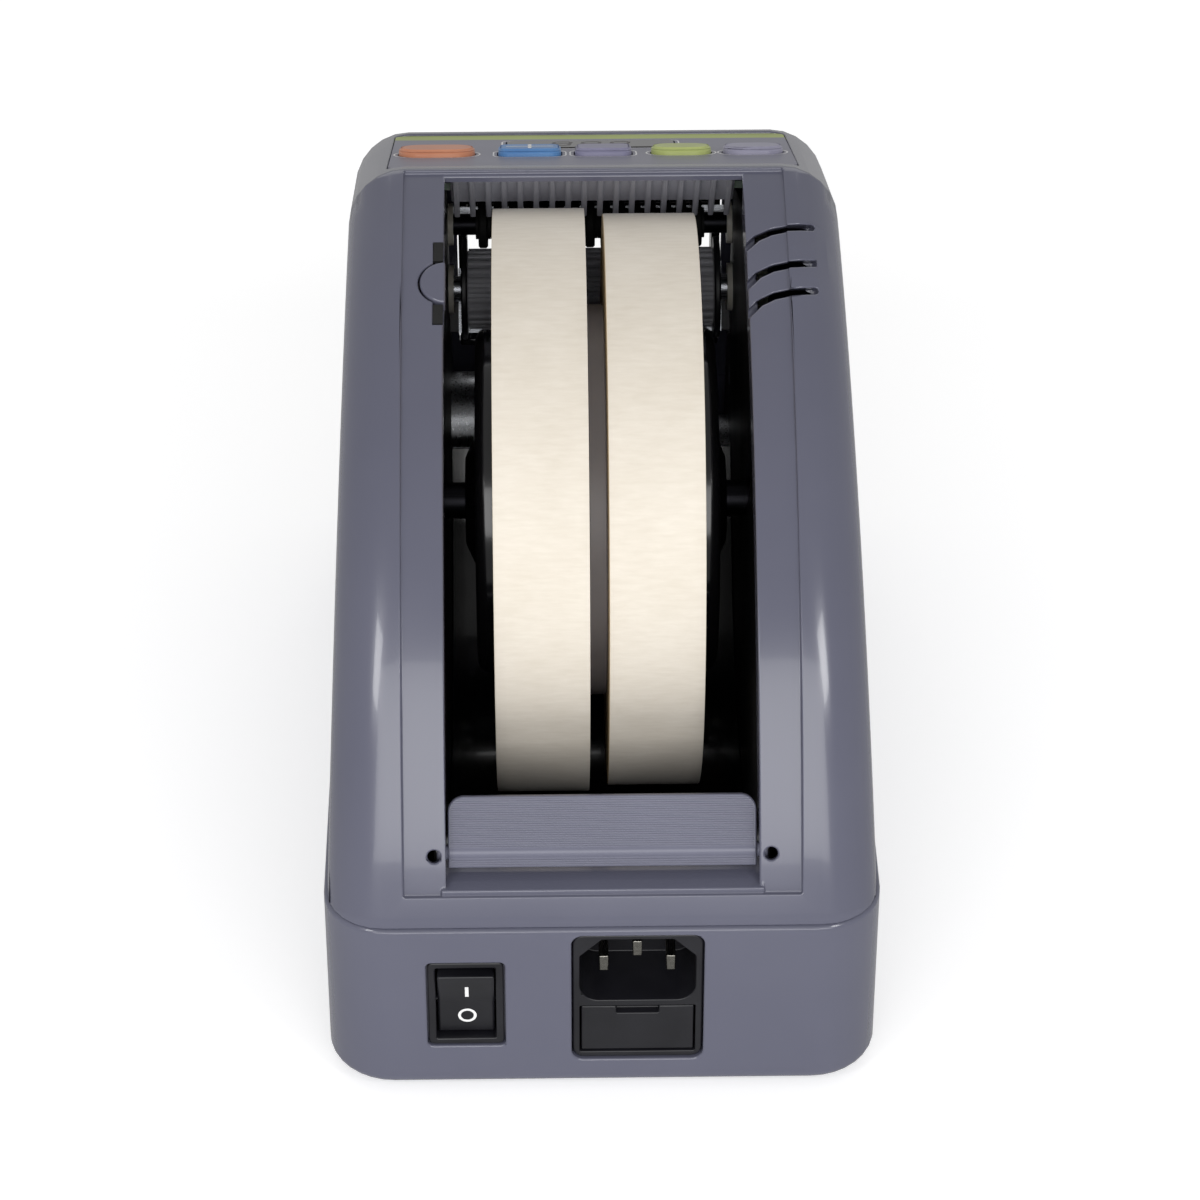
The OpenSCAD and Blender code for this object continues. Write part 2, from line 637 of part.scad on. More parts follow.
// Feed train
module feed_drum() color("#7d7d86") at_yz(drum_c) {
  flutes = 24;
  drum_half = 30;
  flange_t = 1.4;
  difference() {
    union() {
      yz_mid(2 * drum_half - flange_t) difference() {
        circle(drum_r);
        for (k = [0:flutes - 1]) rotate(k * 360 / flutes) translate([drum_r + 0.35, 0]) circle(0.9);
      }
      both() rod(drum_r + reel_gap - 0.5, drum_half - flange_t, drum_half);
    }
    rod(shaft_r + seat, -40, 40);
  }
}
module drum_shaft() color(steel) at_yz(drum_c) rod(shaft_r, -gear_x - gear_t - 1, frame_out + 2);
module drum_gear() color("#e8e4da") at_yz(drum_c) mirror([1, 0, 0])
  gear(drum_teeth, drum_gear_a, shaft_r + seat, gear_x);
module roller_gear() color("#e8e4da") at_yz(roller_c) mirror([1, 0, 0])
  gear(roller_teeth, roller_gear_a, roller_shaft_r + seat, gear_x);
module roller_shaft() color(steel) at_yz(roller_c) rod(roller_shaft_r, -gear_x - gear_t - 1, frame_out + 2);
module roller_rings() color(black_plastic) at_yz(roller_c) for (k = [0:ring_count - 1]) {
  translate([(k - (ring_count - 1) / 2) * rib_pitch, 0, 0]) difference() {
    union() {
      rod(roller_r, -ring_w / 2, ring_w / 2);
      rod(roller_shaft_r + 1, -rib_pitch / 2 + seat, rib_pitch / 2 - seat);
    }
    rod(roller_shaft_r + seat, -rib_pitch, rib_pitch);
  }
}
module idler_gear() color("#e8e4da") at_yz(idler_c) mirror([1, 0, 0])
  gear(idler_teeth, idler_gear_a, 2.5 + running, gear_x);
module idler_stud() color(steel) at_yz(idler_c) rod(2.5, -gear_x - gear_t - 1.5, -frame_x);
module motor() {
  difference() {
    union() {
      rod(motor_r, motor_in, frame_x);
      rod(motor_boss_r, frame_x - 1, frame_out + 0.5);
    }
    rod(motor_shaft_r + running, motor_in + 4, frame_out + 2);
  }
  rod(4, motor_in - 2, motor_in + 0.5);
}
module pinion_with_shaft(a, x0) {
  translate([x0, 0, 0]) yz(gear_t) rotate(a) gear_shape(pinion_teeth);
  rod(motor_shaft_r, motor_in + 6, x0 + 0.5);
}
module feed_motor() color(steel) at_yz(feed_c) mirror([1, 0, 0]) motor();
module feed_pinion() color("#e8e4da") at_yz(feed_c) mirror([1, 0, 0])
  pinion_with_shaft(feed_pinion_a, gear_x);

// Cutter
module cutter_motor() color(steel) at_yz(cutter_c) motor();
module cutter_pinion() color("#e8e4da") at_yz(cutter_c) pinion_with_shaft(cutter_pinion_a, crank_x);
module crank_gear() color("#e8e4da") at_yz(crank_c) {
  translate([crank_x, 0, 0]) yz(gear_t) rotate(crank_gear_a) gear_shape(crank_teeth);
  rod(3, crank_x + gear_t - 0.5, crank_x + gear_t + 4.5);
  rotate([head_tilt, 0, 0]) translate([0, 0, -crank_throw]) rod(crank_pin_r, yoke_x - 0.6, crank_x + 0.5);
}
module crank_bracket() color(steel) {
  plate_x = crank_x + gear_t + 1;
  plate_t = 2;
  arm = 20;
  feet = [for (a = [40, -30]) crank_c + turned([arm, 0], a)];
  translate([plate_x, 0, 0]) yz(plate_t) difference() {
    union() {
      translate(crank_c) circle(7);
      for (p = feet) {
        translate(p) circle(4);
        translate(crank_c) rotate(dir_a(crank_c, p)) translate([0, -3]) square([arm, 6]);
      }
    }
    translate(crank_c) circle(3 + running);
  }
  for (p = feet) at_yz(p) rod(2.5, frame_out, plate_x + 0.5);
}
module moving_blade() color(steel) in_head() difference() {
  translate([-31, blade_y - blade_t, -20]) cube([62, blade_t, 20 - path_gap / 2]);
  translate([0, blade_y - blade_t - 1, -path_gap / 2]) rotate([0, 2.2, 0])
    translate([-40, 0, 0]) cube([80, blade_t + 2, 4]);
}
module blade_carriage() color(black_plastic) in_head() {
  difference() {
    union() {
      translate([-frame_x + 0.5, carriage_y, -20]) cube([2 * frame_x - 1, 2.8, 12]);
      translate([-frame_out - 1.2, carriage_y, -20]) cube([2 * frame_out + 2.4, 2.8, 8]);
      translate([frame_out + 0.6, carriage_mid - 7.5, -31])
        cube([yoke_x - frame_out + yoke_t - 0.6, 15, yoke_h]);
    }
    translate([frame_out - 1, carriage_mid - 6.2, yoke_z - 2.9]) cube([8, 12.4, 5.8]);
  }
}
module fixed_blade() color(steel) in_head()
  translate([-frame_x + 0.2, blade_y + 0.1, path_gap / 2]) cube([2 * frame_x - 0.4, blade_t, 6]);
module blade_bar() color(steel) in_head()
  translate([-frame_x, blade_y + 0.1 + blade_t, path_gap / 2 + 1.5]) cube([2 * frame_x, 3.6, 4.5]);

module nose_profile(inset) offset(delta = -inset) polygon([
  [-body_l / 2 + 16, mouth_high - 0.4], [-body_l / 2 + 5.8, mouth_high - 3.4],
  [-body_l / 2 + 0.4, mouth_high - 13], [-body_l / 2 - 0.4, mouth_high - 29],
  [-body_l / 2 + 2.6, mouth_low + 0.4], [-body_l / 2 + 16, mouth_low + 0.4]]);
module front_nose() color(black_plastic) {
  nose_w = mouth_w - 2 * fit;
  slot_h = 9.6;
  difference() {
    yz_mid(nose_w) nose_profile(0);
    yz_mid(nose_w - 4) nose_profile(2);
    translate([-nose_w, -body_l / 2 + 10.2, mouth_low - 5])
      cube([2 * nose_w, 20, mouth_high - mouth_low + 10]);
    in_head() translate([-29, -60, -slot_h / 2]) cube([58, 48, slot_h]);
  }
}

// Reel
module along_reel() at_yz(reel_c) rotate([0, 90, 0]) children();
module reel_axle() color(steel) at_yz(reel_c) rod(axle_r, -axle_end, axle_end);
module reel_drum() color(black_plastic) at_yz(reel_c) difference() {
  union() {
    difference() {
      rod(hub_r, -stack_half, stack_half);
      rod(hub_r - 2.4, -stack_half - 1, stack_half + 1);
    }
    rod(hub_r - 1, -2, 2);
    rod(9, -stack_half, stack_half);
  }
  rod(axle_r + seat, -stack_half - 1, stack_half + 1);
}
module reel_cap() {
  round_r = 2.5;
  rim = [for (a = [0:15:90]) [hub_r - round_r + round_r * cos(a), cap_w - round_r + round_r * sin(a)]];
  along_reel() translate([0, 0, stack_half]) rotate_extrude()
    polygon(concat([[axle_r + running, 0], [hub_r, 0]], rim,
      [[15, cap_w], [10, cap_w + 2.5], [axle_r + running, cap_w + 2.5]]));
}
module reel_cap_left() color(black_plastic) reel_cap();
module reel_cap_right() color(black_plastic) mirror([1, 0, 0]) reel_cap();
module spacer_ring() color("#8d8d94")
  tube_x(hub_r + 5, hub_r + 0.1, -spacer_w / 2 + 0.05, spacer_w / 2 - 0.05);
module tube_x(r1, r0, x0, x1) at_yz(reel_c) difference() {
  rod(r1, x0, x1);
  rod(r0, x0 - 1, x1 + 1);
}
core_r = core_id / 2;
module tape_core_left() color("#b99b6b") tube_x(core_r + core_wall, core_r, spacer_w / 2, stack_half);
module tape_core_right() color("#b99b6b") mirror([1, 0, 0])
  tube_x(core_r + core_wall, core_r, spacer_w / 2, stack_half);
module tape_roll_left() color("#efe6d8")
  tube_x(tape_od / 2, core_r + core_wall + seat, spacer_w / 2, stack_half);
module tape_roll_right() color("#efe6d8") mirror([1, 0, 0])
  tube_x(second_od / 2, core_r + core_wall + seat, spacer_w / 2, stack_half);

// Rear flap and latch
module rear_flap() color(case_grey) {
  flap_w = opening_w - 1;
  flap_low_a = flap_a - 1.1;
  corner = 3.2;
  pivot = on_rear(5.2, flap_a);
  intersection() {
    yz_mid(flap_w) ring_part(rear_c, rear_r - 6.4, rear_r - 4, flap_low_a, flap_top_a);
    on_rail(flap_top_a) translate([0, body_h / 2, -10]) linear_extrude(10) round_rect(flap_w, body_h, corner);
  }
  yz_mid(flap_w) translate(pivot) circle(1.6);
  at_yz(pivot) rod(1.5, -opening_w / 2 - 1.8, opening_w / 2 + 1.8);
}
module rail_latch() color(case_grey) on_rail(latch_a)
  translate([0, 0, -3.6 - inset_step]) linear_extrude(3.6) latch_shape(0);

// Electronics
module main_board() color(board_green) translate([0, 0, board_z]) linear_extrude(board_t) difference() {
  translate([-31, -98]) square([62, 38]);
  for (p = board_posts) translate(p) circle(1.4);
}
module board_parts() color("#3b3b40") translate([0, 0, board_z + board_t]) {
  translate([-22, -94, 0]) cube([20, 22, 12]);
  translate([14, -88, 0]) cylinder(r = 5, h = 12);
  translate([4, -78, 0]) cylinder(r = 4, h = 11);
  translate([12, -80, 0]) cube([14, 3, 12]);
}

// Mains inlet and switch
module socket_shape() {
  w = socket_w / 2;
  h = socket_h / 2;
  cut = 4.6;
  polygon([[-w, socket_r - h], [w, socket_r - h], [w, h - cut], [w - cut, h], [-w + cut, h], [-w, h - cut]]);
  for (x = [-1, 1]) translate([x * (w - socket_r), socket_r - h]) circle(socket_r);
  translate([socket_r - w, -h]) square([2 * (w - socket_r), socket_r + 1]);
}
module power_inlet() color(black_plastic) difference() {
  to_rear(inlet_face) linear_extrude(inlet_depth) inlet_outline(0);
  to_rear(inlet_face + 1) linear_extrude(socket_depth + 1) translate([-inlet_x, socket_z]) socket_shape();
  to_rear(inlet_face + 1) linear_extrude(inlet_depth - 3) translate([-inlet_x, fuse_z])
    square([fuse_w, fuse_h], center = true);
}
module inlet_pins() color(steel) for (p = [[-pin_pitch / 2, -1.6], [0, 2.4], [pin_pitch / 2, -1.6]])
  to_rear(inlet_face - socket_depth + 11.5) translate([p[0] - inlet_x, p[1] + socket_z, 0])
    linear_extrude(11.5) square([2, 4], center = true);
module fuse_drawer() color("#2a2a2e") {
  clear = 0.35;
  drawer = fuse_travel + 4;
  difference() {
    to_rear(inlet_face - 0.3) linear_extrude(drawer) translate([-inlet_x, fuse_z])
      square([fuse_w - 2 * clear, fuse_h - 2 * clear], center = true);
    to_rear(inlet_face) linear_extrude(2.2) translate([-inlet_x, fuse_z + fuse_h / 2 - 1.2])
      square([9, 2.2], center = true);
  }
}
module switch_frame() color(black_plastic) difference() {
  union() {
    to_rear(switch_face) linear_extrude(switch_lip) switch_outline(0);
    to_rear(switch_face - 1) linear_extrude(switch_depth) switch_outline(-1);
  }
  to_rear(switch_face + 1) linear_extrude(10) translate([switch_x, switch_z])
    square([rocker_w + 0.8, rocker_h + 1.4], center = true);
  translate([switch_x, rocker_axis, switch_z]) rod(1 + running, -rocker_pin - 0.2, rocker_pin + 0.2);
}
module switch_rocker() color(black_plastic)
  translate([switch_x, rocker_axis, switch_z]) rotate([-switch_tilt, 0, 0]) {
  h = rocker_h / 2;
  yz_mid(rocker_w) polygon([[-3.4, -h + 1.5], [2.4, -h], [1.4, 0], [2.4, h], [-3.4, h - 1.5]]);
  rod(1, -rocker_pin, rocker_pin);
}

base_shell();
rubber_feet();
case_screws();
upper_shell();
ribbed_tape_guide();
panel_foil();
display_lens();
display_module();
panel_board();
tact_switches();
panel_screws();
orange_key();
blue_key();
grey_key();
lime_key();
plain_key();
left_frame();
right_frame();
frame_screws();
frame_tie_rods();
shaft_bushes();
bay_tray();
front_nose();
blade_bar();
fixed_blade();
moving_blade();
blade_carriage();
cutter_motor();
cutter_pinion();
crank_gear();
crank_bracket();
feed_motor();
feed_pinion();
idler_stud();
idler_gear();
drum_gear();
drum_shaft();
feed_drum();
roller_gear();
roller_shaft();
roller_rings();
reel_axle();
reel_drum();
reel_cap_left();
reel_cap_right();
spacer_ring();
tape_roll_left();
tape_core_left();
tape_roll_right();
tape_core_right();
rear_flap();
rail_latch();
main_board();
board_parts();
power_inlet();
inlet_pins();
fuse_drawer();
switch_frame();
switch_rocker();
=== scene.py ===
import bpy
import bmesh
import math
import random
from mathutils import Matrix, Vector
from mathutils.bvhtree import BVHTree


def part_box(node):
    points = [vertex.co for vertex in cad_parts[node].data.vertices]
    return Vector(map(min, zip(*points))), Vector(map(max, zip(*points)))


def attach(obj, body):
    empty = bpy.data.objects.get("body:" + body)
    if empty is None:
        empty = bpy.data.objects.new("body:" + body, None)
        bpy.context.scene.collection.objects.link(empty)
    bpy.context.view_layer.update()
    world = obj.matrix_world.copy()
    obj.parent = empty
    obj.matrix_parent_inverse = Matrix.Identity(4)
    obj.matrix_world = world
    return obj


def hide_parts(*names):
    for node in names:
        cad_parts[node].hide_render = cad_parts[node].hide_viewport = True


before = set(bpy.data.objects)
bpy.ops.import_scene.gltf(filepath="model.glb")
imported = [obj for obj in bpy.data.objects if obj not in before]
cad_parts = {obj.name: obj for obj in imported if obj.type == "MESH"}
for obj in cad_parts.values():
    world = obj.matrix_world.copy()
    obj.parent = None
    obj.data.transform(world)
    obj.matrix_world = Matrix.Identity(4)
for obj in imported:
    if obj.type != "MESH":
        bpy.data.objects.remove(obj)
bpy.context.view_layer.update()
mm = 0.001
scene = bpy.context.scene
print("frame loaded:", len(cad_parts), "nodes")

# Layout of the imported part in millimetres, (y, z) in the side view
layout = {
    "reel": (3.1165, 81.3547),
    "drum": (-72.9658, 87.7435),
    "roller": (-80.9146, 100.464),
    "rear": (-48.8686, -16.1225),     # centre of the rear curve
    "rearRadius": 165.573,
    "flapPivot": (93.8844, 56.9603),
    "ridge": (-27.0, 148.0),
    "panelTilt": 24.0,
}


# Small tools

def hexColor(code):
    parts = [int(code[i:i + 2], 16) / 255 for i in (1, 3, 5)]
    return [*(c / 12.92 if c <= 0.04045 else ((c + 0.055) / 1.055) ** 2.4 for c in parts), 1.0]


def addNode(tree, kind, settings=None, inputs=None, links=None):
    node = tree.nodes.new(kind)
    for key, value in (settings or {}).items():
        setattr(node, key, value)
    for key, value in (inputs or {}).items():
        node.inputs[key].default_value = value
    for key, source in (links or {}).items():
        tree.links.new(source, node.inputs[key])
    return node


def linkPiece(obj, body, replaced=()):
    if obj.name not in scene.collection.objects:
        scene.collection.objects.link(obj)
    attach(obj, body)
    if replaced:
        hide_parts(*replaced)
    return obj


def bakeModifiers(obj):
    scene.collection.objects.link(obj)
    bpy.context.view_layer.update()
    done = bpy.data.meshes.new_from_object(obj.evaluated_get(bpy.context.evaluated_depsgraph_get()))
    obj.modifiers.clear()
    obj.data = done
    done.name = obj.name
    return obj


def smoothByAngle(mesh, degrees):
    mesh.polygons.foreach_set("use_smooth", [True] * len(mesh.polygons))
    mesh.set_sharp_from_angle(angle=math.radians(degrees))


def meshObject(name, points, faces, material, smooth=40):
    mesh = bpy.data.meshes.new(name)
    mesh.from_pydata(points, [], faces)
    mesh.validate()
    mesh.materials.append(material)
    smoothByAngle(mesh, smooth)
    return bpy.data.objects.new(name, mesh)


# A closed ring turned about the X axis from a list of (x, r) in millimetres
def turned(name, profile, centre, material, steps=160, smooth=35, wobble=None):
    points, faces = [], []
    count = len(profile)
    for k in range(steps):
        a = 2 * math.pi * k / steps
        for i, (x, r) in enumerate(profile):
            rr = r + (wobble(i, a) if wobble else 0)
            points.append((x * mm, (centre[0] + rr * math.cos(a)) * mm, (centre[1] + rr * math.sin(a)) * mm))
    for k in range(steps):
        for i in range(count):
            a, b = k * count + i, k * count + (i + 1) % count
            c, d = ((k + 1) % steps) * count + (i + 1) % count, ((k + 1) % steps) * count + i
            faces.append((a, b, c, d))
    obj = meshObject(name, points, faces, material, smooth)
    bm = bmesh.new()
    bm.from_mesh(obj.data)
    bmesh.ops.recalc_face_normals(bm, faces=bm.faces)
    bm.to_mesh(obj.data)
    bm.free()
    smoothByAngle(obj.data, smooth)
    return obj


# A smooth copy of a CAD solid with softened edges, sizes in mm
# with skin, only edges that near to the convex hull are softened
def dressed(node, name, material, width=0.2, angle=34, merge=0.004, flat=0.25, segments=2, skin=0):
    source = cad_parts[node].data
    bm = bmesh.new()
    bm.from_mesh(source)
    bmesh.ops.remove_doubles(bm, verts=bm.verts, dist=merge * mm)
    bmesh.ops.dissolve_degenerate(bm, edges=bm.edges, dist=merge * mm)
    bmesh.ops.dissolve_limit(bm, angle_limit=math.radians(flat), verts=bm.verts, edges=bm.edges)
    bm.verts.index_update()
    if skin:
        hull = bm.copy()
        spare = bmesh.ops.convex_hull(hull, input=hull.verts)["geom_interior"]
        bmesh.ops.delete(hull, geom=[g for g in spare if isinstance(g, bmesh.types.BMVert)], context="VERTS")
        outside = BVHTree.FromBMesh(hull)
        hull.free()
        weights = bm.edges.layers.float.new("bevel_weight_edge")
        for edge in bm.edges:
            deep = max(outside.find_nearest(v.co)[3] for v in edge.verts)
            edge[weights] = float(deep < skin * mm and edge.calc_face_angle(0) > math.radians(angle))
    mesh = bpy.data.meshes.new(name)
    bm.to_mesh(mesh)
    bm.free()
    mesh.materials.clear()
    mesh.materials.append(material)
    smoothByAngle(mesh, angle)
    obj = bpy.data.objects.new(name, mesh)
    if width:
        bevel = obj.modifiers.new("edges", "BEVEL")
        bevel.width = width * mm
        bevel.segments = segments
        bevel.limit_method = "WEIGHT" if skin else "ANGLE"
        bevel.angle_limit = math.radians(angle)
        bevel.use_clamp_overlap = False
        bevel.miter_outer = "MITER_ARC"
    normals = obj.modifiers.new("normals", "WEIGHTED_NORMAL")
    normals.keep_sharp = True
    bakeModifiers(obj)
    return obj


# Materials

def newMaterial(name):
    material = bpy.data.materials.new(name)
    material.use_nodes = True
    tree = material.node_tree
    tree.nodes.clear()
    shader = addNode(tree, "ShaderNodeBsdfPrincipled")
    addNode(tree, "ShaderNodeOutputMaterial", links={"Surface": shader.outputs["BSDF"]})
    place = addNode(tree, "ShaderNodeTexCoord").outputs["Object"]
    return material, tree, shader, place


# Moulded or coated surface: two close tones, a grain of real size and an uneven gloss
def mouldedMaterial(name, tones, gloss, grainMm, grainDepth, patchMm=40, **sockets):
    material, tree, shader, place = newMaterial(name)
    patch = addNode(tree, "ShaderNodeTexNoise", inputs={"Scale": 1000 / patchMm, "Detail": 3.0, "Roughness": 0.55},
                    links={"Vector": place})
    grain = addNode(tree, "ShaderNodeTexNoise", inputs={"Scale": 1000 / grainMm, "Detail": 2.0},
                    links={"Vector": place})
    color = addNode(tree, "ShaderNodeValToRGB", links={"Fac": patch.outputs["Fac"]})
    color.color_ramp.elements[0].position, color.color_ramp.elements[1].position = 0.35, 0.68
    color.color_ramp.elements[0].color, color.color_ramp.elements[1].color = hexColor(tones[0]), hexColor(tones[1])
    rough = addNode(tree, "ShaderNodeMapRange",
                    inputs={"From Min": 0.3, "From Max": 0.7, "To Min": gloss[0], "To Max": gloss[1]},
                    links={"Value": patch.outputs["Fac"]})
    bump = addNode(tree, "ShaderNodeBump", inputs={"Strength": 0.35, "Distance": grainDepth * mm},
                   links={"Height": grain.outputs["Fac"]})
    for socket, source in (("Base Color", color.outputs["Color"]), ("Roughness", rough.outputs["Result"]),
                           ("Normal", bump.outputs["Normal"])):
        tree.links.new(source, shader.inputs[socket])
    for socket, value in sockets.items():
        shader.inputs[socket.replace("_", " ")].default_value = value
    return material


# Metal with fine lines along one axis, as grinding or turning leaves them
def linedMetal(name, tones, gloss, lineMm, along):
    material, tree, shader, place = newMaterial(name)
    stretch = [1000 / lineMm] * 3
    stretch[along] = 1000 / (lineMm * 60)
    lines = addNode(tree, "ShaderNodeMapping", inputs={"Scale": stretch}, links={"Vector": place})
    noise = addNode(tree, "ShaderNodeTexNoise", inputs={"Scale": 1.0, "Detail": 3.0},
                    links={"Vector": lines.outputs["Vector"]})
    color = addNode(tree, "ShaderNodeValToRGB", links={"Fac": noise.outputs["Fac"]})
    color.color_ramp.elements[0].position, color.color_ramp.elements[1].position = 0.3, 0.7
    color.color_ramp.elements[0].color, color.color_ramp.elements[1].color = hexColor(tones[0]), hexColor(tones[1])
    rough = addNode(tree, "ShaderNodeMapRange",
                    inputs={"From Min": 0.3, "From Max": 0.7, "To Min": gloss[0], "To Max": gloss[1]},
                    links={"Value": noise.outputs["Fac"]})
    bump = addNode(tree, "ShaderNodeBump", inputs={"Strength": 0.2, "Distance": 0.02 * mm},
                   links={"Height": noise.outputs["Fac"]})
    shader.inputs["Metallic"].default_value = 1.0
    for socket, source in (("Base Color", color.outputs["Color"]), ("Roughness", rough.outputs["Result"]),
                           ("Normal", bump.outputs["Normal"])):
        tree.links.new(source, shader.inputs[socket])
    return material


# ABS moulded in a polished tool: smooth, mid gloss, a faint orange peel
caseAbs = mouldedMaterial("caseAbsPolishedMoulding", ("#5a5b6b", "#5f6070"), (0.17, 0.25), 1.1, 0.010, 60,
                          IOR=1.53, Coat_Weight=0.35, Coat_Roughness=0.06)
# the same ABS with a fine spark-eroded grain: duller and a little paler
caseAbsFine = mouldedMaterial("caseAbsSparkGrain", ("#696a7a", "#707182"), (0.30, 0.40), 0.5, 0.02, 45, IOR=1.53)
# painted light: the ribs are the case ABS, drawn much paler to stand in for light that does not reach them in the
# shade of the opening; the same grain
guideAbsPaintedLight = mouldedMaterial("guideAbsSparkGrain", ("#b4b5c0", "#bfc0cb"), (0.32, 0.42), 0.5, 0.02, 45, IOR=1.53)
# black ABS from a polished tool: deep, with clear reflections
blackGloss = mouldedMaterial("blackAbsPolishedMoulding", ("#0c0c0e", "#131316"), (0.12, 0.22), 0.9, 0.008, 30,
                             IOR=1.53, Coat_Weight=0.25, Coat_Roughness=0.05)
# glass-filled nylon of mains fittings: satin, slightly mottled
blackNylon = mouldedMaterial("blackNylonSatinMoulding", ("#16161b", "#1f1f25"), (0.34, 0.46), 0.45, 0.02, 18,
                             IOR=1.53)
# powder coat on sheet steel: even satin with a soft pebble
blackCoat = mouldedMaterial("blackPowderCoat", ("#111114", "#1a1a1e"), (0.36, 0.48), 0.7, 0.05, 25)
# moulded rubber: matt, with a dry bloom
rubber = mouldedMaterial("blackRubberMoulded", ("#0e0e0e", "#191919"), (0.62, 0.78), 0.6, 0.04, 12)
# grey polypropylene of the feed drum: matt; its own grey, raised much paler as painted light for the shade deep in the
# feed head
drumGreyPaintedLight = mouldedMaterial("greyPolypropylenePaintedLight", ("#bcbcc4", "#cacad2"), (0.42, 0.52), 0.6, 0.02, 15)
# grey polystyrene of the ring between the rolls: a touch glossier; its own grey, lightened as painted light for the
# shade between the rolls
spacerGreyPaintedLight = mouldedMaterial("greyPolystyrenePaintedLight", ("#a19fa6", "#adabb2"), (0.3, 0.42), 0.6, 0.02, 15)
# natural acetal of the gears: milky, waxy
acetal = mouldedMaterial("naturalAcetalMoulded", ("#d9d5c9", "#e6e2d8"), (0.35, 0.45), 0.8, 0.01, 10,
                         Subsurface_Weight=0.1, Subsurface_Radius=(0.001, 0.001, 0.0008))
# screen-printed polyester film: flat colour on a fine matt texture
panelFilm = mouldedMaterial("panelPolyesterFilm", ("#7b7b8a", "#838392"), (0.34, 0.42), 0.35, 0.012, 30, IOR=1.57)
limeFilm = mouldedMaterial("limePrintedFilm", ("#a3b056", "#afbc62"), (0.34, 0.42), 0.35, 0.012, 30, IOR=1.57)
# dyed silicone keys: soft satin, even colour; the dye tones are lightened and greyed by a painted reflection haze
keyOrange = mouldedMaterial("orangeKeySilicone", ("#c98363", "#d3906f"), (0.3, 0.38), 0.5, 0.012, 9)
keyBlue = mouldedMaterial("blueKeySilicone", ("#5585bd", "#6092c8"), (0.3, 0.38), 0.5, 0.012, 9)
keyGrey = mouldedMaterial("greyKeySilicone", ("#85839d", "#8f8da8"), (0.3, 0.38), 0.5, 0.012, 9)
keyLime = mouldedMaterial("limeKeySilicone", ("#b0bb70", "#bbc67c"), (0.3, 0.38), 0.5, 0.012, 9)
keyPlain = mouldedMaterial("paleKeySilicone", ("#9694a8", "#a09eb2"), (0.3, 0.38), 0.5, 0.012, 9)
# smoked acrylic: near black, mirror smooth
lensSmoke = mouldedMaterial("smokedAcrylicLens", ("#0a0606", "#120808"), (0.05, 0.09), 2.0, 0.002, 20, IOR=1.49)
# pad-printed ink: matt white
markWhite = mouldedMaterial("whitePadPrint", ("#e8e8e8", "#f2f2f2"), (0.45, 0.55), 0.4, 0.01, 6)
# solder resist over copper: mottled green gloss; epoxy-moulded components: dull black
boardGreen = mouldedMaterial("greenSolderResist", ("#1d4a2c", "#2a6239"), (0.28, 0.42), 1.4, 0.03, 3)
partsBlack = mouldedMaterial("blackEpoxyMoulding", ("#151517", "#222226"), (0.4, 0.55), 0.4, 0.02, 6)
# ground, zinc-plated and blacked steel and nickel-plated brass: fine streaks along the tool marks
steelGround = linedMetal("steelGround", ("#9fa2a8", "#c3c6cb"), (0.22, 0.36), 0.25, 0)
steelZinc = linedMetal("steelZincPlated", ("#a8aaae", "#c6c8cc"), (0.24, 0.38), 0.4, 2)
# the nickel tones are darkened well below bright plating: painted shade for pins that sit deep in the inlet
pinNickelPaintedShade = linedMetal("brassNickelPaintedShade", ("#7d7b75", "#9a9891"), (0.2, 0.32), 0.3, 1)
steelBlacked = linedMetal("steelBlackOxide", ("#1c1c1f", "#29292d"), (0.3, 0.42), 0.3, 0)
print("materials ready:", len(bpy.data.materials))


# Creped paper: cross wrinkles about 0.8 mm apart, drawn a little coarser so that they show
def crepeMaterial(name, tones):
    material, tree, shader, _ = newMaterial(name)
    place = addNode(tree, "ShaderNodeUVMap", {"uv_map": "roll"}).outputs["UV"]
    squeeze = addNode(tree, "ShaderNodeMapping", inputs={"Scale": (180.0, 1000 / 1.1, 1.0)}, links={"Vector": place})
    crepe = addNode(tree, "ShaderNodeTexNoise", inputs={"Scale": 1.0, "Detail": 4.0, "Roughness": 0.6},
                    links={"Vector": squeeze.outputs["Vector"]})
    cloud = addNode(tree, "ShaderNodeTexNoise", inputs={"Scale": 1000 / 14, "Detail": 3.0}, links={"Vector": place})
    both = addNode(tree, "ShaderNodeMix", {"data_type": "FLOAT"}, {"Factor": 0.4},
                   {"A": crepe.outputs["Fac"], "B": cloud.outputs["Fac"]})
    color = addNode(tree, "ShaderNodeValToRGB", links={"Fac": both.outputs["Result"]})
    color.color_ramp.elements[0].position, color.color_ramp.elements[1].position = 0.32, 0.66
    color.color_ramp.elements[0].color, color.color_ramp.elements[1].color = hexColor(tones[0]), hexColor(tones[1])
    bump = addNode(tree, "ShaderNodeBump", inputs={"Strength": 0.5, "Distance": 0.06 * mm},
                   links={"Height": crepe.outputs["Fac"]})
    tree.links.new(color.outputs["Color"], shader.inputs["Base Color"])
    tree.links.new(bump.outputs["Normal"], shader.inputs["Normal"])
    shader.inputs["Roughness"].default_value = 0.62
    shader.inputs["Sheen Weight"].default_value = 0.15
    return material


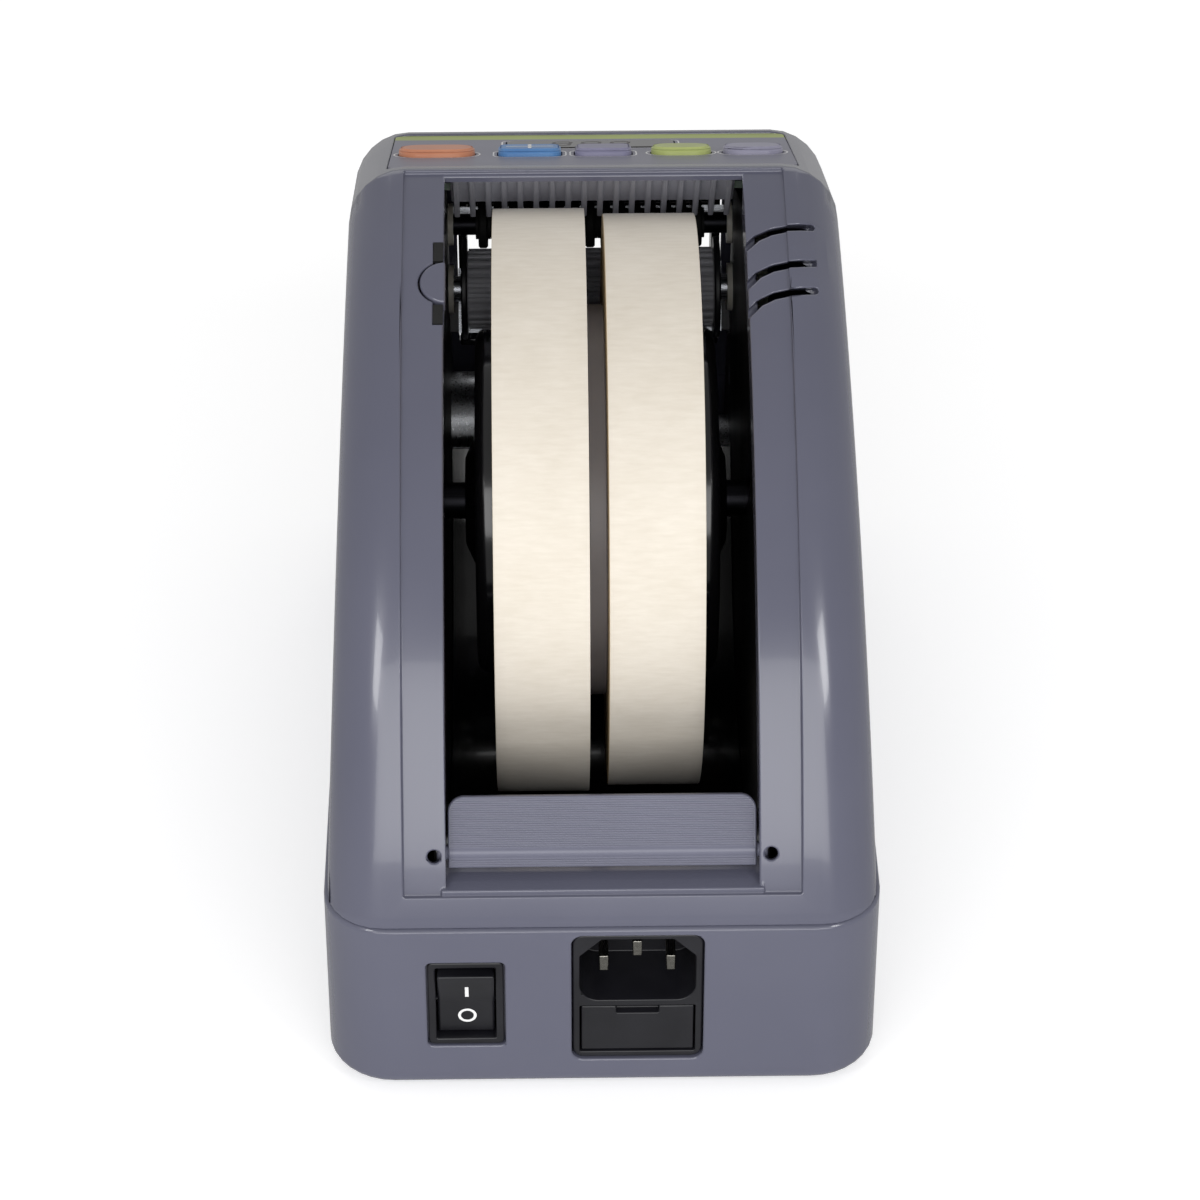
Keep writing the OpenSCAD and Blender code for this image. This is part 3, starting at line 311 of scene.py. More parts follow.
# Edges of the wound layers; real layers are 0.13 mm, drawn at 0.5 mm so that they show
def woundEdgeMaterial(name, tones, layerMm):
    material, tree, shader, _ = newMaterial(name)
    place = addNode(tree, "ShaderNodeUVMap", {"uv_map": "roll"}).outputs["UV"]
    stretch = addNode(tree, "ShaderNodeMapping", inputs={"Scale": (9.0, 1000 / layerMm, 1.0)},
                      links={"Vector": place})
    layers = addNode(tree, "ShaderNodeTexNoise", inputs={"Scale": 1.0, "Detail": 2.0},
                     links={"Vector": stretch.outputs["Vector"]})
    color = addNode(tree, "ShaderNodeValToRGB", links={"Fac": layers.outputs["Fac"]})
    color.color_ramp.elements[0].position, color.color_ramp.elements[1].position = 0.3, 0.68
    color.color_ramp.elements[0].color, color.color_ramp.elements[1].color = hexColor(tones[0]), hexColor(tones[1])
    bump = addNode(tree, "ShaderNodeBump", inputs={"Strength": 0.6, "Distance": 0.08 * mm},
                   links={"Height": layers.outputs["Fac"]})
    tree.links.new(color.outputs["Color"], shader.inputs["Base Color"])
    tree.links.new(bump.outputs["Normal"], shader.inputs["Normal"])
    shader.inputs["Roughness"].default_value = 0.7
    return material


# masking paper: warm white, dry; spiral-wound board: brown, with ply lines on its edge
tapeFace = crepeMaterial("maskingTapeCrepedPaper", ("#dbd2c3", "#e6ded1"))
tapeEdge = woundEdgeMaterial("maskingTapeWoundEdge", ("#d8c7a8", "#f1e4cb"), 0.5)
coreFace = crepeMaterial("cardboardSpiralWound", ("#a58457", "#b99766"))
coreEdge = woundEdgeMaterial("cardboardPlyEdge", ("#94744a", "#b6945f"), 0.6)


# UV of a turned piece: x against arc length on the rims, arc length against radius on the sides
def rollUv(obj, profile, steps):
    mesh = obj.data
    count = len(profile)
    layer = mesh.uv_layers.new(name="roll")
    big = max(r for _, r in profile)
    for face in mesh.polygons:
        ids = [mesh.loops[i].vertex_index for i in face.loop_indices]
        rings = [v // count for v in ids]
        wrap = max(rings) - min(rings) > 1
        rows = sorted({v % count for v in ids})
        (xa, ra), (xb, rb) = profile[rows[0]], profile[rows[-1]]
        side = abs(ra - rb) > abs(xa - xb)
        for i in face.loop_indices:
            v = mesh.loops[i].vertex_index
            ring = v // count
            arc = 2 * math.pi * big * (ring + steps if wrap and ring == 0 else ring) / steps * mm
            x, r = profile[v % count]
            layer.data[i].uv = (arc, r * mm) if side else (x * mm, arc)
        if side:
            face.material_index = 1


tapeSpec = {
    "steps": 240,
    "edgeRound": 0.22,
    "layerShift": 0.07,      # how far layers stand out of the side, mm
    "rings": 26,
    "endStep": 0.14,         # the free end of the outermost turn, mm
    "endAt": 200,            # where that end lies, degrees
    "rimParts": 8,
    "rimCut": 0.3,           # share of the edge rounding at its middle point
    "rolls": {
        "tapeRollLeft": {"node": "tape_roll_left", "x": (2.0, 22.0), "outer": 64.0, "seed": 3},
        "tapeRollRight": {"node": "tape_roll_right", "x": (-22.0, -2.0), "outer": 62.75, "seed": 8},
    },
    "inner": 41.12,
}


def tapeRoll(name, node, x, outer, seed):
    rng = random.Random(seed)
    x0, x1 = x
    e, inner, rings = tapeSpec["edgeRound"], tapeSpec["inner"], tapeSpec["rings"]
    parts, cut = tapeSpec["rimParts"], tapeSpec["rimCut"]
    profile = [(x0 + e + (x1 - x0 - 2 * e) * k / parts, outer) for k in range(parts + 1)]
    profile.append((x1 - cut * e, outer - cut * e))
    radii = [outer - e - (outer - e - inner) * k / rings for k in range(rings + 1)]
    profile += [(x1 - rng.uniform(0, tapeSpec["layerShift"]), r) for r in radii]
    profile += [(x0 + rng.uniform(0, tapeSpec["layerShift"]), r) for r in reversed(radii)]
    profile.append((x0 + cut * e, outer - cut * e))
    rim = {i for i, p in enumerate(profile) if p[1] > outer - e}
    start = math.radians(tapeSpec["endAt"])

    def spiral(i, a):
        turn = ((a - start) % (2 * math.pi)) / (2 * math.pi)
        return -tapeSpec["endStep"] * turn if i in rim else 0

    roll = turned(name, profile, layout["reel"], tapeFace, tapeSpec["steps"], 40, spiral)
    roll.data.materials.append(tapeEdge)
    rollUv(roll, profile, tapeSpec["steps"])
    linkPiece(roll, "reel", [node])


for rollName, spec in tapeSpec["rolls"].items():
    tapeRoll(rollName, **spec)
print("tape rolls wound")

# Cardboard cores, caps, spacer and hub of the reel
reelSpec = {
    "coreInner": 38.1, "coreOuter": 41.1, "coreRound": 0.15, "half": 22.0, "gap": 2.0,
    "hub": 37.8, "capRound": 2.5, "cap": 4.0, "boss": (15.0, 10.0, 2.5), "bore": 4.05,
    "capLip": 0.2, "dishFrom": (6.0, 7.5), "dishDeep": (0.5, 0.8), "dishTo": 18, "bossRound": (0.4, 0.6),
    "spacerOuter": 42.8, "spacerHalf": 1.95, "spacerFit": 0.1, "spacerRound": 0.3, "steps": 160,
}


def ringProfile(x0, x1, inner, outer, e):
    return [(x0 + e, outer), ((x0 + x1) / 2, outer), (x1 - e, outer), (x1, outer - e), (x1, inner + e),
            (x1 - e, inner), ((x0 + x1) / 2, inner), (x0 + e, inner), (x0, inner + e), (x0, outer - e)]


for coreName, node, x0, x1 in (("tapeCoreLeft", "tape_core_left", reelSpec["gap"], reelSpec["half"]),
                               ("tapeCoreRight", "tape_core_right", -reelSpec["half"], -reelSpec["gap"])):
    ring = ringProfile(x0, x1, reelSpec["coreInner"], reelSpec["coreOuter"], reelSpec["coreRound"])
    core = turned(coreName, ring, layout["reel"], coreFace, reelSpec["steps"], 40)
    core.data.materials.append(coreEdge)
    rollUv(core, ring, reelSpec["steps"])
    linkPiece(core, "reel", [node])

ring = ringProfile(-reelSpec["spacerHalf"], reelSpec["spacerHalf"], reelSpec["hub"] + reelSpec["spacerFit"],
                   reelSpec["spacerOuter"], reelSpec["spacerRound"])
spacer = turned("spacerRing", ring, layout["reel"], spacerGreyPaintedLight, reelSpec["steps"])
linkPiece(spacer, "reel", ["spacer_ring"])

arc = [math.radians(a) for a in range(0, 91, 10)]
for capName, node, way in (("reelCapLeft", "reel_cap_left", 1), ("reelCapRight", "reel_cap_right", -1)):
    h, r, w, lip = reelSpec["hub"], reelSpec["capRound"], reelSpec["cap"], reelSpec["capLip"]
    b0, b1, bh = reelSpec["boss"]
    (in0, in1), (deep0, deep1), (soft0, soft1) = reelSpec["dishFrom"], reelSpec["dishDeep"], reelSpec["bossRound"]
    edge = [(w - r + r * math.sin(a), h - r + r * math.cos(a)) for a in arc]
    shape = [(0, reelSpec["bore"]), (0, h - lip), (lip, h), *edge, (w - deep0, h - in0), (w - deep1, h - in1),
             (w - deep1, reelSpec["dishTo"]), (w, b0), (w + bh - soft0, b1 + soft0), (w + bh, b1 - soft1),
             (w + bh, reelSpec["bore"])]
    shape = [(way * (reelSpec["half"] + x), r) for x, r in shape]
    cap = turned(capName, shape, layout["reel"], blackGloss, reelSpec["steps"])
    linkPiece(cap, "reel", [node])
print("reel dressed")


# Geometry Nodes: bars along X that stand round an arc, for the drum flutes and the flap ribs
def barTree():
    tree = bpy.data.node_groups.new("barsRoundArc", "GeometryNodeTree")
    tree.interface.new_socket("Geometry", in_out="OUTPUT", socket_type="NodeSocketGeometry")
    for label, kind in (("Count", "Int"), ("Radius", "Float"), ("First", "Float"), ("Step", "Float"),
                        ("Length", "Float"), ("Wide", "Float"), ("Tall", "Float"), ("Y", "Float"), ("Z", "Float"),
                        ("Corner", "Float"), ("Pitch", "Float"), ("Material", "Material")):
        tree.interface.new_socket(label, in_out="INPUT", socket_type="NodeSocket" + kind)
    given = addNode(tree, "NodeGroupInput").outputs
    index = addNode(tree, "GeometryNodeInputIndex").outputs["Index"]
    turn = addNode(tree, "ShaderNodeMath", {"operation": "MULTIPLY_ADD"},
                   links={0: index, 1: given["Step"], 2: given["First"]}).outputs[0]
    across = addNode(tree, "ShaderNodeMath", {"operation": "COSINE"}, links={0: turn}).outputs[0]
    upward = addNode(tree, "ShaderNodeMath", {"operation": "SINE"}, links={0: turn}).outputs[0]
    y = addNode(tree, "ShaderNodeMath", {"operation": "MULTIPLY_ADD"},
                links={0: across, 1: given["Radius"], 2: given["Y"]}).outputs[0]
    z = addNode(tree, "ShaderNodeMath", {"operation": "MULTIPLY_ADD"},
                links={0: upward, 1: given["Radius"], 2: given["Z"]}).outputs[0]
    spot = addNode(tree, "ShaderNodeCombineXYZ", links={"Y": y, "Z": z}).outputs[0]
    line = addNode(tree, "GeometryNodeMeshLine", inputs={"Offset": (0, 0, 0)}, links={"Count": given["Count"]})
    points = addNode(tree, "GeometryNodeSetPosition", links={"Geometry": line.outputs["Mesh"], "Position": spot})
    bar = addNode(tree, "GeometryNodeMeshCylinder", inputs={"Vertices": 12, "Radius": 1.0, "Depth": 1.0})
    laid = addNode(tree, "GeometryNodeTransform", inputs={"Rotation": (0, math.pi / 2, 0)},
                   links={"Geometry": bar.outputs["Mesh"]})
    # the last rows shorten so that they follow a rounded corner
    left = addNode(tree, "ShaderNodeMath", {"operation": "SUBTRACT"}, links={0: given["Count"], 1: index}).outputs[0]
    room = addNode(tree, "ShaderNodeMath", {"operation": "MULTIPLY"}, links={0: left, 1: given["Pitch"]}).outputs[0]
    near = addNode(tree, "ShaderNodeMath", {"operation": "MINIMUM"}, links={0: room, 1: given["Corner"]}).outputs[0]
    reach = addNode(tree, "ShaderNodeMath", {"operation": "SUBTRACT"}, links={0: given["Corner"], 1: near}).outputs[0]
    square = addNode(tree, "ShaderNodeMath", {"operation": "MULTIPLY"},
                     links={0: given["Corner"], 1: given["Corner"]}).outputs[0]
    taken = addNode(tree, "ShaderNodeMath", {"operation": "MULTIPLY"}, links={0: reach, 1: reach}).outputs[0]
    kept = addNode(tree, "ShaderNodeMath", {"operation": "SUBTRACT"}, links={0: square, 1: taken}).outputs[0]
    root = addNode(tree, "ShaderNodeMath", {"operation": "SQRT"}, links={0: kept}).outputs[0]
    inset = addNode(tree, "ShaderNodeMath", {"operation": "SUBTRACT"}, links={0: given["Corner"], 1: root}).outputs[0]
    shown = addNode(tree, "ShaderNodeMath", {"operation": "MULTIPLY_ADD"}, {1: -2.0},
                    {0: inset, 2: given["Length"]}).outputs[0]
    size = addNode(tree, "ShaderNodeCombineXYZ",
                   links={"X": shown, "Y": given["Tall"], "Z": given["Wide"]}).outputs[0]
    facing = addNode(tree, "ShaderNodeCombineXYZ", links={"X": turn}).outputs[0]
    bars = addNode(tree, "GeometryNodeInstanceOnPoints",
                   links={"Points": points.outputs["Geometry"], "Instance": laid.outputs["Geometry"],
                          "Rotation": facing, "Scale": size})
    solid = addNode(tree, "GeometryNodeRealizeInstances", links={"Geometry": bars.outputs["Instances"]})
    soft = addNode(tree, "GeometryNodeSetShadeSmooth", links={"Geometry": solid.outputs["Geometry"]})
    done = addNode(tree, "GeometryNodeSetMaterial",
                   links={"Geometry": soft.outputs["Geometry"], "Material": given["Material"]})
    addNode(tree, "NodeGroupOutput", links={"Geometry": done.outputs["Geometry"]})
    return tree


barsRoundArc = barTree()


def barPiece(name, values):
    obj = bpy.data.objects.new(name, bpy.data.meshes.new(name))
    modifier = obj.modifiers.new("bars", "NODES")
    modifier.node_group = barsRoundArc
    for socket in barsRoundArc.interface.items_tree:
        if socket.in_out == "INPUT":
            modifier[socket.identifier] = values[socket.name]
    bakeModifiers(obj)
    smoothByAngle(obj.data, 50)
    return obj


drumSpec = {"radius": 9.35, "length": 57.2, "flutes": 24, "tall": 0.55, "wide": 0.78, "bore": 3.02,
            "flange": 11.85, "flangeThick": 1.4, "flangeRound": 0.35,
            "coreDrop": 0.45, "round": 0.25, "fluteShort": 0.6, "steps": 96}
half = drumSpec["length"] / 2
ring = ringProfile(-half, half, drumSpec["bore"], drumSpec["radius"] - drumSpec["coreDrop"], drumSpec["round"])
drum = turned("feedDrum", ring, layout["drum"], drumGreyPaintedLight, drumSpec["steps"])
linkPiece(drum, "feed_roller", ["feed_drum"])
for flangeName, x in (("feedDrumFlangeLeft", half), ("feedDrumFlangeRight", -half - drumSpec["flangeThick"])):
    ring = ringProfile(x, x + drumSpec["flangeThick"], drumSpec["bore"], drumSpec["flange"], drumSpec["flangeRound"])
    flange = turned(flangeName, ring, layout["drum"], blackNylon, drumSpec["steps"])
    linkPiece(flange, "feed_roller")
flutes = barPiece("feedDrumFlutes", {
    "Count": drumSpec["flutes"], "Radius": (drumSpec["radius"] - drumSpec["tall"]) * mm, "First": 0.0,
    "Step": 2 * math.pi / drumSpec["flutes"], "Length": (drumSpec["length"] - drumSpec["fluteShort"]) * mm,
    "Wide": drumSpec["wide"] * mm, "Tall": drumSpec["tall"] * mm,
    "Y": layout["drum"][0] * mm, "Z": layout["drum"][1] * mm, "Corner": 0.0, "Pitch": 0.0, "Material": drumGreyPaintedLight})
linkPiece(flutes, "feed_roller")

# Rubber rings of the pinch roller, each on its collar
ringSpec = {"count": 15, "pitch": 3.55, "width": 2.2, "radius": 5.6, "round": 0.4, "bore": 2.52,
            "collar": 3.5, "collarRound": 0.1, "collarGap": 0.02, "steps": 64}
points, faces = [], []
for k in range(ringSpec["count"]):
    x = (k - (ringSpec["count"] - 1) / 2) * ringSpec["pitch"]
    for half, radius, soft in ((ringSpec["width"] / 2, ringSpec["radius"], ringSpec["round"]),
                               (ringSpec["pitch"] / 2 - ringSpec["collarGap"], ringSpec["collar"],
                                ringSpec["collarRound"])):
        ring = ringProfile(x - half, x + half, ringSpec["bore"], radius, soft)
        one = turned("ring", ring, layout["roller"], rubber, ringSpec["steps"])
        base = len(points)
        points += [v.co.copy() for v in one.data.vertices]
        faces += [[base + i for i in f.vertices] for f in one.data.polygons]
        bpy.data.objects.remove(one)
linkPiece(meshObject("rollerRings", points, faces, rubber, 35), "pinch_roller", ["roller_rings"])
print("feed head dressed")


# Faces cut at a depth along the rear curve take the curve's own normals, so that no facet shows
def rearNormals(mesh, depth, lean=4, near=0.4):
    y, z = layout["rear"]
    radius = layout["rearRadius"] - depth
    normals = [corner.vector.copy() for corner in mesh.corner_normals]
    for face in mesh.polygons:
        outward = [mesh.vertices[v].co / mm - Vector((mesh.vertices[v].co.x / mm, y, z)) for v in face.vertices]
        off = face.normal.angle(sum(outward, Vector()), math.pi)
        if off < math.radians(lean) and all(abs(o.length - radius) < near for o in outward):
            for corner, o in zip(face.loop_indices, outward):
                normals[corner] = o.normalized()
    mesh.normals_split_custom_set(normals)


# Moulded and pressed pieces: smooth copies of their CAD solids with softened edges
# piece: node, body, slot, material, edge width in mm
moulded = {
    "caseUpper": ("upper_shell", "housing", "case_abs", caseAbs, 0.35),
    "caseLower": ("base_shell", "housing", "case_abs", caseAbs, 0.35),
    "tapeGuide": ("ribbed_tape_guide", "housing", "case_abs", guideAbsPaintedLight, 0.25),
    "railLatch": ("rail_latch", "latch", "case_abs", caseAbs, 0.4),
    "frontNose": ("front_nose", "housing", "black_abs", blackGloss, 0.5),
    "bayTray": ("bay_tray", "housing", "black_abs", blackGloss, 0.2),
    "reelDrum": ("reel_drum", "reel", "black_abs", blackGloss, 0.2),
    "sideFrameLeft": ("left_frame", "housing", "black_steel", blackCoat, 0.15),
    "sideFrameRight": ("right_frame", "housing", "black_steel", blackCoat, 0.15),
    "mainsInlet": ("power_inlet", "housing", "black_abs", blackNylon, 0.3),
    "inletPins": ("inlet_pins", "housing", "brass", pinNickelPaintedShade, 0.25),
    "fuseDrawer": ("fuse_drawer", "fuse", "black_abs", blackNylon, 0.3),
    "switchFrame": ("switch_frame", "housing", "black_abs", blackNylon, 0.3),
    "switchRocker": ("switch_rocker", "rocker", "black_abs", blackNylon, 0.45),
    "keyOrange": ("orange_key", "key_orange", "key_orange", keyOrange, 0.45),
    "keyBlue": ("blue_key", "key_blue", "key_blue", keyBlue, 0.45),
    "keyGrey": ("grey_key", "key_grey", "key_grey", keyGrey, 0.45),
    "keyLime": ("lime_key", "key_lime", "key_lime", keyLime, 0.45),
    "keyPlain": ("plain_key", "key_plain", "key_plain", keyPlain, 0.45),
    "displayLens": ("display_lens", "housing", "lens", lensSmoke, 0.25),
    "rubberFeet": ("rubber_feet", "housing", "rubber", rubber, 0.4),
    "rearFlap": ("rear_flap", "flap", "case_abs", caseAbsFine, 0.3),
    "bladeCarriage": ("blade_carriage", "blade", "black_abs", blackNylon, 0.2),
}
# the cases: points merged and edges softened near the outside only, and the depth of the frame round the opening
caseSpec = {"nodes": ("upper_shell", "base_shell"), "merge": 0.06, "skin": 1.3, "frameDepth": 0.8}
for pieceName, (node, body, slot, material, width) in moulded.items():
    extra = {"merge": caseSpec["merge"], "skin": caseSpec["skin"]} if node in caseSpec["nodes"] else {}
    piece = dressed(node, pieceName, material, width, **extra)
    if node == "upper_shell":
        rearNormals(piece.data, caseSpec["frameDepth"])
    linkPiece(piece, body, [node])
print("moulded pieces dressed:", len(moulded))

# Pieces that keep their CAD solid
carried = {
    "display_module": partsBlack, "panel_board": boardGreen, "tact_switches": partsBlack, "panel_screws": steelZinc,
    "case_screws": steelZinc, "frame_screws": steelZinc, "frame_tie_rods": steelZinc, "shaft_bushes": acetal,
    "blade_bar": steelGround, "fixed_blade": steelGround, "moving_blade": steelGround,
    "cutter_motor": steelZinc, "cutter_pinion": acetal, "crank_gear": acetal, "crank_bracket": steelZinc,
    "feed_motor": steelZinc, "feed_pinion": acetal, "idler_stud": steelGround, "idler_gear": acetal,
    "drum_gear": acetal, "drum_shaft": steelGround, "roller_gear": acetal, "roller_shaft": steelBlacked,
    "reel_axle": steelBlacked, "main_board": boardGreen, "board_parts": partsBlack,
}
for node, material in carried.items():
    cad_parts[node].data.materials.clear()
    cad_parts[node].data.materials.append(material)

# Painted shade: dark strips in the black rubber material, put in the slot above and below the latch where there is
# only shade: x across, s down the rail, h off the rear curve, in mm
slotShadeSpec = {"at": 70.91, "x": (32.3, 34.4), "s": (5.9, 10.95), "h": (-1.9, -1.2)}
turn = math.radians(slotShadeSpec["at"])
down, off = Vector((0, math.sin(turn), -math.cos(turn))), Vector((0, math.cos(turn), math.sin(turn)))
spot = Vector((0, *layout["rear"])) + off * layout["rearRadius"]
points, faces = [], []
for way in (-1, 1):
    base = len(points)
    points += [(Vector((x, 0, 0)) + spot + down * way * s + off * h) * mm
               for x in slotShadeSpec["x"] for s in slotShadeSpec["s"] for h in slotShadeSpec["h"]]
    for corners in ((0, 1, 3, 2), (4, 6, 7, 5), (0, 4, 5, 1), (2, 3, 7, 6), (0, 2, 6, 4), (1, 5, 7, 3)):
        faces.append([base + i for i in (corners if way > 0 else corners[::-1])])
linkPiece(meshObject("latchSlotPaintedShade", points, faces, rubber), "housing")

# Fine ribs across the flap
flapSpec = {"ribs": 30, "from": 26.2, "to": 31.1, "radius": 161.573, "length": 62.6,
            "wide": 0.17, "tall": 0.16, "corner": 3.2}
ribPitch = math.radians((flapSpec["to"] - flapSpec["from"]) / (flapSpec["ribs"] - 1))
ribs = barPiece("rearFlapRibs", {
    "Count": flapSpec["ribs"], "Radius": flapSpec["radius"] * mm, "First": math.radians(flapSpec["from"]),
    "Step": ribPitch, "Length": flapSpec["length"] * mm, "Corner": flapSpec["corner"] * mm,
    "Pitch": ribPitch * flapSpec["radius"] * mm,
    "Wide": flapSpec["wide"] * mm, "Tall": flapSpec["tall"] * mm,
    "Y": layout["rear"][0] * mm, "Z": layout["rear"][1] * mm, "Material": caseAbsFine})
linkPiece(ribs, "flap")


# Control panel: x across, s down the slope from the ridge, h off the panel plane, in mm
def onPanel(x, s, h):
    a = math.radians(layout["panelTilt"])
    y = layout["ridge"][0] - s * math.cos(a) - h * math.sin(a)
    z = layout["ridge"][1] - s * math.sin(a) + h * math.cos(a)
    return Vector((x * mm, y * mm, z * mm))


panelSpec = {
    "foilTop": -0.5, "limeFrom": 57.5, "print": 0.02,
    "keys": {"orange": (34.5, 17, 11, 5.4), "blue": (13.8, 14, 10, 2.5), "grey": (-2.6, 12.6, 10, 2.5),
             "lime": (-20, 13.4, 9.4, 4.6), "plain": (-36, 13.4, 9.4, 4.6)},
    "keyRow": 30.0, "keyTop": 1.2, "display": (0.0, 47.0, 38.0, 13.0), "displayRound": 1.5, "lensTop": -0.3,
    "lineGap": 0.9, "lineWide": 0.35, "crossWide": 0.8, "crossTrim": (3.5, 3.0),
}

foil = dressed("panel_foil", "panelFoil", panelFilm, 0)
bm = bmesh.new()
bm.from_mesh(foil.data)
cut = onPanel(0, panelSpec["limeFrom"], 0)
along = (onPanel(0, 1, 0) - onPanel(0, 0, 0)).normalized()
bmesh.ops.bisect_plane(bm, geom=bm.verts[:] + bm.edges[:] + bm.faces[:], plane_co=cut, plane_no=along)
for face in bm.faces:
    face.material_index = 1 if (face.calc_center_median() - cut).dot(along) > 0 else 0
bm.to_mesh(foil.data)
bm.free()
foil.data.materials.append(limeFilm)
smoothByAngle(foil.data, 30)
linkPiece(foil, "housing", ["panel_foil"])


def roundLoop(w, h, r, steps=8):
    loop = []
    for cx, cy, start in ((w / 2 - r, h / 2 - r, 0), (-w / 2 + r, h / 2 - r, 90), (-w / 2 + r, -h / 2 + r, 180),
                          (w / 2 - r, -h / 2 + r, 270)):
        for k in range(steps + 1):
            a = math.radians(start + 90 * k / steps)
            loop.append((cx + r * math.cos(a), cy + r * math.sin(a)))
    return loop


# Printed line round a key, a little above the film
def printedFrame(points, faces, x, s, w, h, r, level):
    gap, thick = panelSpec["lineGap"], panelSpec["lineWide"]
    inner = roundLoop(w + 2 * gap, h + 2 * gap, r + gap)
    outer = roundLoop(w + 2 * gap + 2 * thick, h + 2 * gap + 2 * thick, r + gap + thick)
    base, count = len(points), len(inner)
    points += [onPanel(x + u, s - v, level) for u, v in inner] + [onPanel(x + u, s - v, level) for u, v in outer]
    for k in range(count):
        n = (k + 1) % count
        faces.append((base + k, base + count + k, base + count + n, base + n))


def flatBar(points, faces, corners, level):
    base = len(points)
    points += [onPanel(x, s, level) for x, s in corners]
    faces.append(tuple(range(base, base + len(corners))))


points, faces = [], []
top = panelSpec["foilTop"] + panelSpec["print"]
for x, w, h, r in panelSpec["keys"].values():
    printedFrame(points, faces, x, panelSpec["keyRow"], w, h, r, top)
dx, ds, dw, dh = panelSpec["display"]
printedFrame(points, faces, dx, ds, dw, dh, panelSpec["displayRound"], top)
linkPiece(meshObject("panelPrint", points, faces, markWhite), "housing")

points, faces = [], []
x, w, h, _ = panelSpec["keys"]["blue"]
s, level = panelSpec["keyRow"], panelSpec["keyTop"] + panelSpec["print"]
trimX, trimS = panelSpec["crossTrim"]
for bw, bh in ((w - trimX, panelSpec["crossWide"]), (panelSpec["crossWide"], h - trimS)):
    flatBar(points, faces, [(x - bw / 2, s + bh / 2), (x + bw / 2, s + bh / 2), (x + bw / 2, s - bh / 2),
                            (x - bw / 2, s - bh / 2)], level)
linkPiece(meshObject("keyBlueCross", points, faces, markWhite), "key_blue")

# Segments of the switched-off display, seven strokes each
digitSpec = {"count": 3, "high": 7.0, "wide": 3.8, "pitch": 6.6, "stroke": 0.8, "end": 0.25, "slant": 0.1}
# diffuser windows of the diodes, unlit: dull, a little paler than the lens
unlitSegments = mouldedMaterial("unlitDiodeWindows", ("#2b2122", "#352829"), (0.3, 0.4), 0.5, 0.01, 6)

points, faces = [], []
w, h, t = digitSpec["wide"] / 2, digitSpec["high"] / 2, digitSpec["stroke"] / 2
strokes = ((-w, h, w, h), (w, h, w, 0), (w, 0, w, -h), (-w, -h, w, -h), (-w, 0, -w, -h), (-w, h, -w, 0), (-w, 0, w, 0))
for column in range(digitSpec["count"]):
    middle = dx + (column - (digitSpec["count"] - 1) / 2) * digitSpec["pitch"]
    for u0, v0, u1, v1 in strokes:
        run = Vector((u1 - u0, v1 - v0)).normalized()
        side = Vector((-run.y, run.x)) * t
        a, b = Vector((u0, v0)) + run * digitSpec["end"], Vector((u1, v1)) - run * digitSpec["end"]
        shape = [a, a + run * t - side, b - run * t - side, b, b - run * t + side, a + run * t + side]
        flatBar(points, faces, [(middle + p.x + digitSpec["slant"] * p.y, ds - p.y) for p in shape],
                panelSpec["lensTop"] + panelSpec["print"])
linkPiece(meshObject("displayDigits", points, faces, unlitSegments), "housing")

# I and O on the rocker, laid on its face
markSpec = {"x": 28.4, "line": (0.75, 3.6), "ring": (1.35, 1.95), "lineAt": 0.70, "ringAt": 0.27, "lift": 0.02,
            "lineParts": 6, "ringParts": 40}
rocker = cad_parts["switch_rocker"].data
rockerTree = BVHTree.FromPolygons([v.co.copy() for v in rocker.vertices], [list(p.vertices) for p in rocker.polygons])
low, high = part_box("switch_rocker")


def onRocker(x, z):
    behind = 0.2   # metres, well behind the case
    spot, normal, _, _ = rockerTree.ray_cast(Vector((x * mm, behind, z)), Vector((0, -1, 0)))
    return spot + normal * markSpec["lift"] * mm


points, faces = [], []
lineWide, lineHigh = markSpec["line"]
middle = low[2] + (high[2] - low[2]) * markSpec["lineAt"]
for k in range(markSpec["lineParts"] + 1):
    z = middle + lineHigh * mm * (k / markSpec["lineParts"] - 0.5)
    points += [onRocker(markSpec["x"] - lineWide / 2, z), onRocker(markSpec["x"] + lineWide / 2, z)]
    if k:
        faces.append((2 * k - 2, 2 * k - 1, 2 * k + 1, 2 * k))
middle = low[2] + (high[2] - low[2]) * markSpec["ringAt"]
base = len(points)
for k in range(markSpec["ringParts"]):
    a = 2 * math.pi * k / markSpec["ringParts"]
    for radius in markSpec["ring"]:
        points.append(onRocker(markSpec["x"] + radius * math.cos(a), middle + radius * mm * math.sin(a)))
    n = (k + 1) % markSpec["ringParts"]
    faces.append((base + 2 * k, base + 2 * k + 1, base + 2 * n + 1, base + 2 * n))
linkPiece(meshObject("rockerMarks", points, faces, markWhite), "rocker")
print("marks printed")

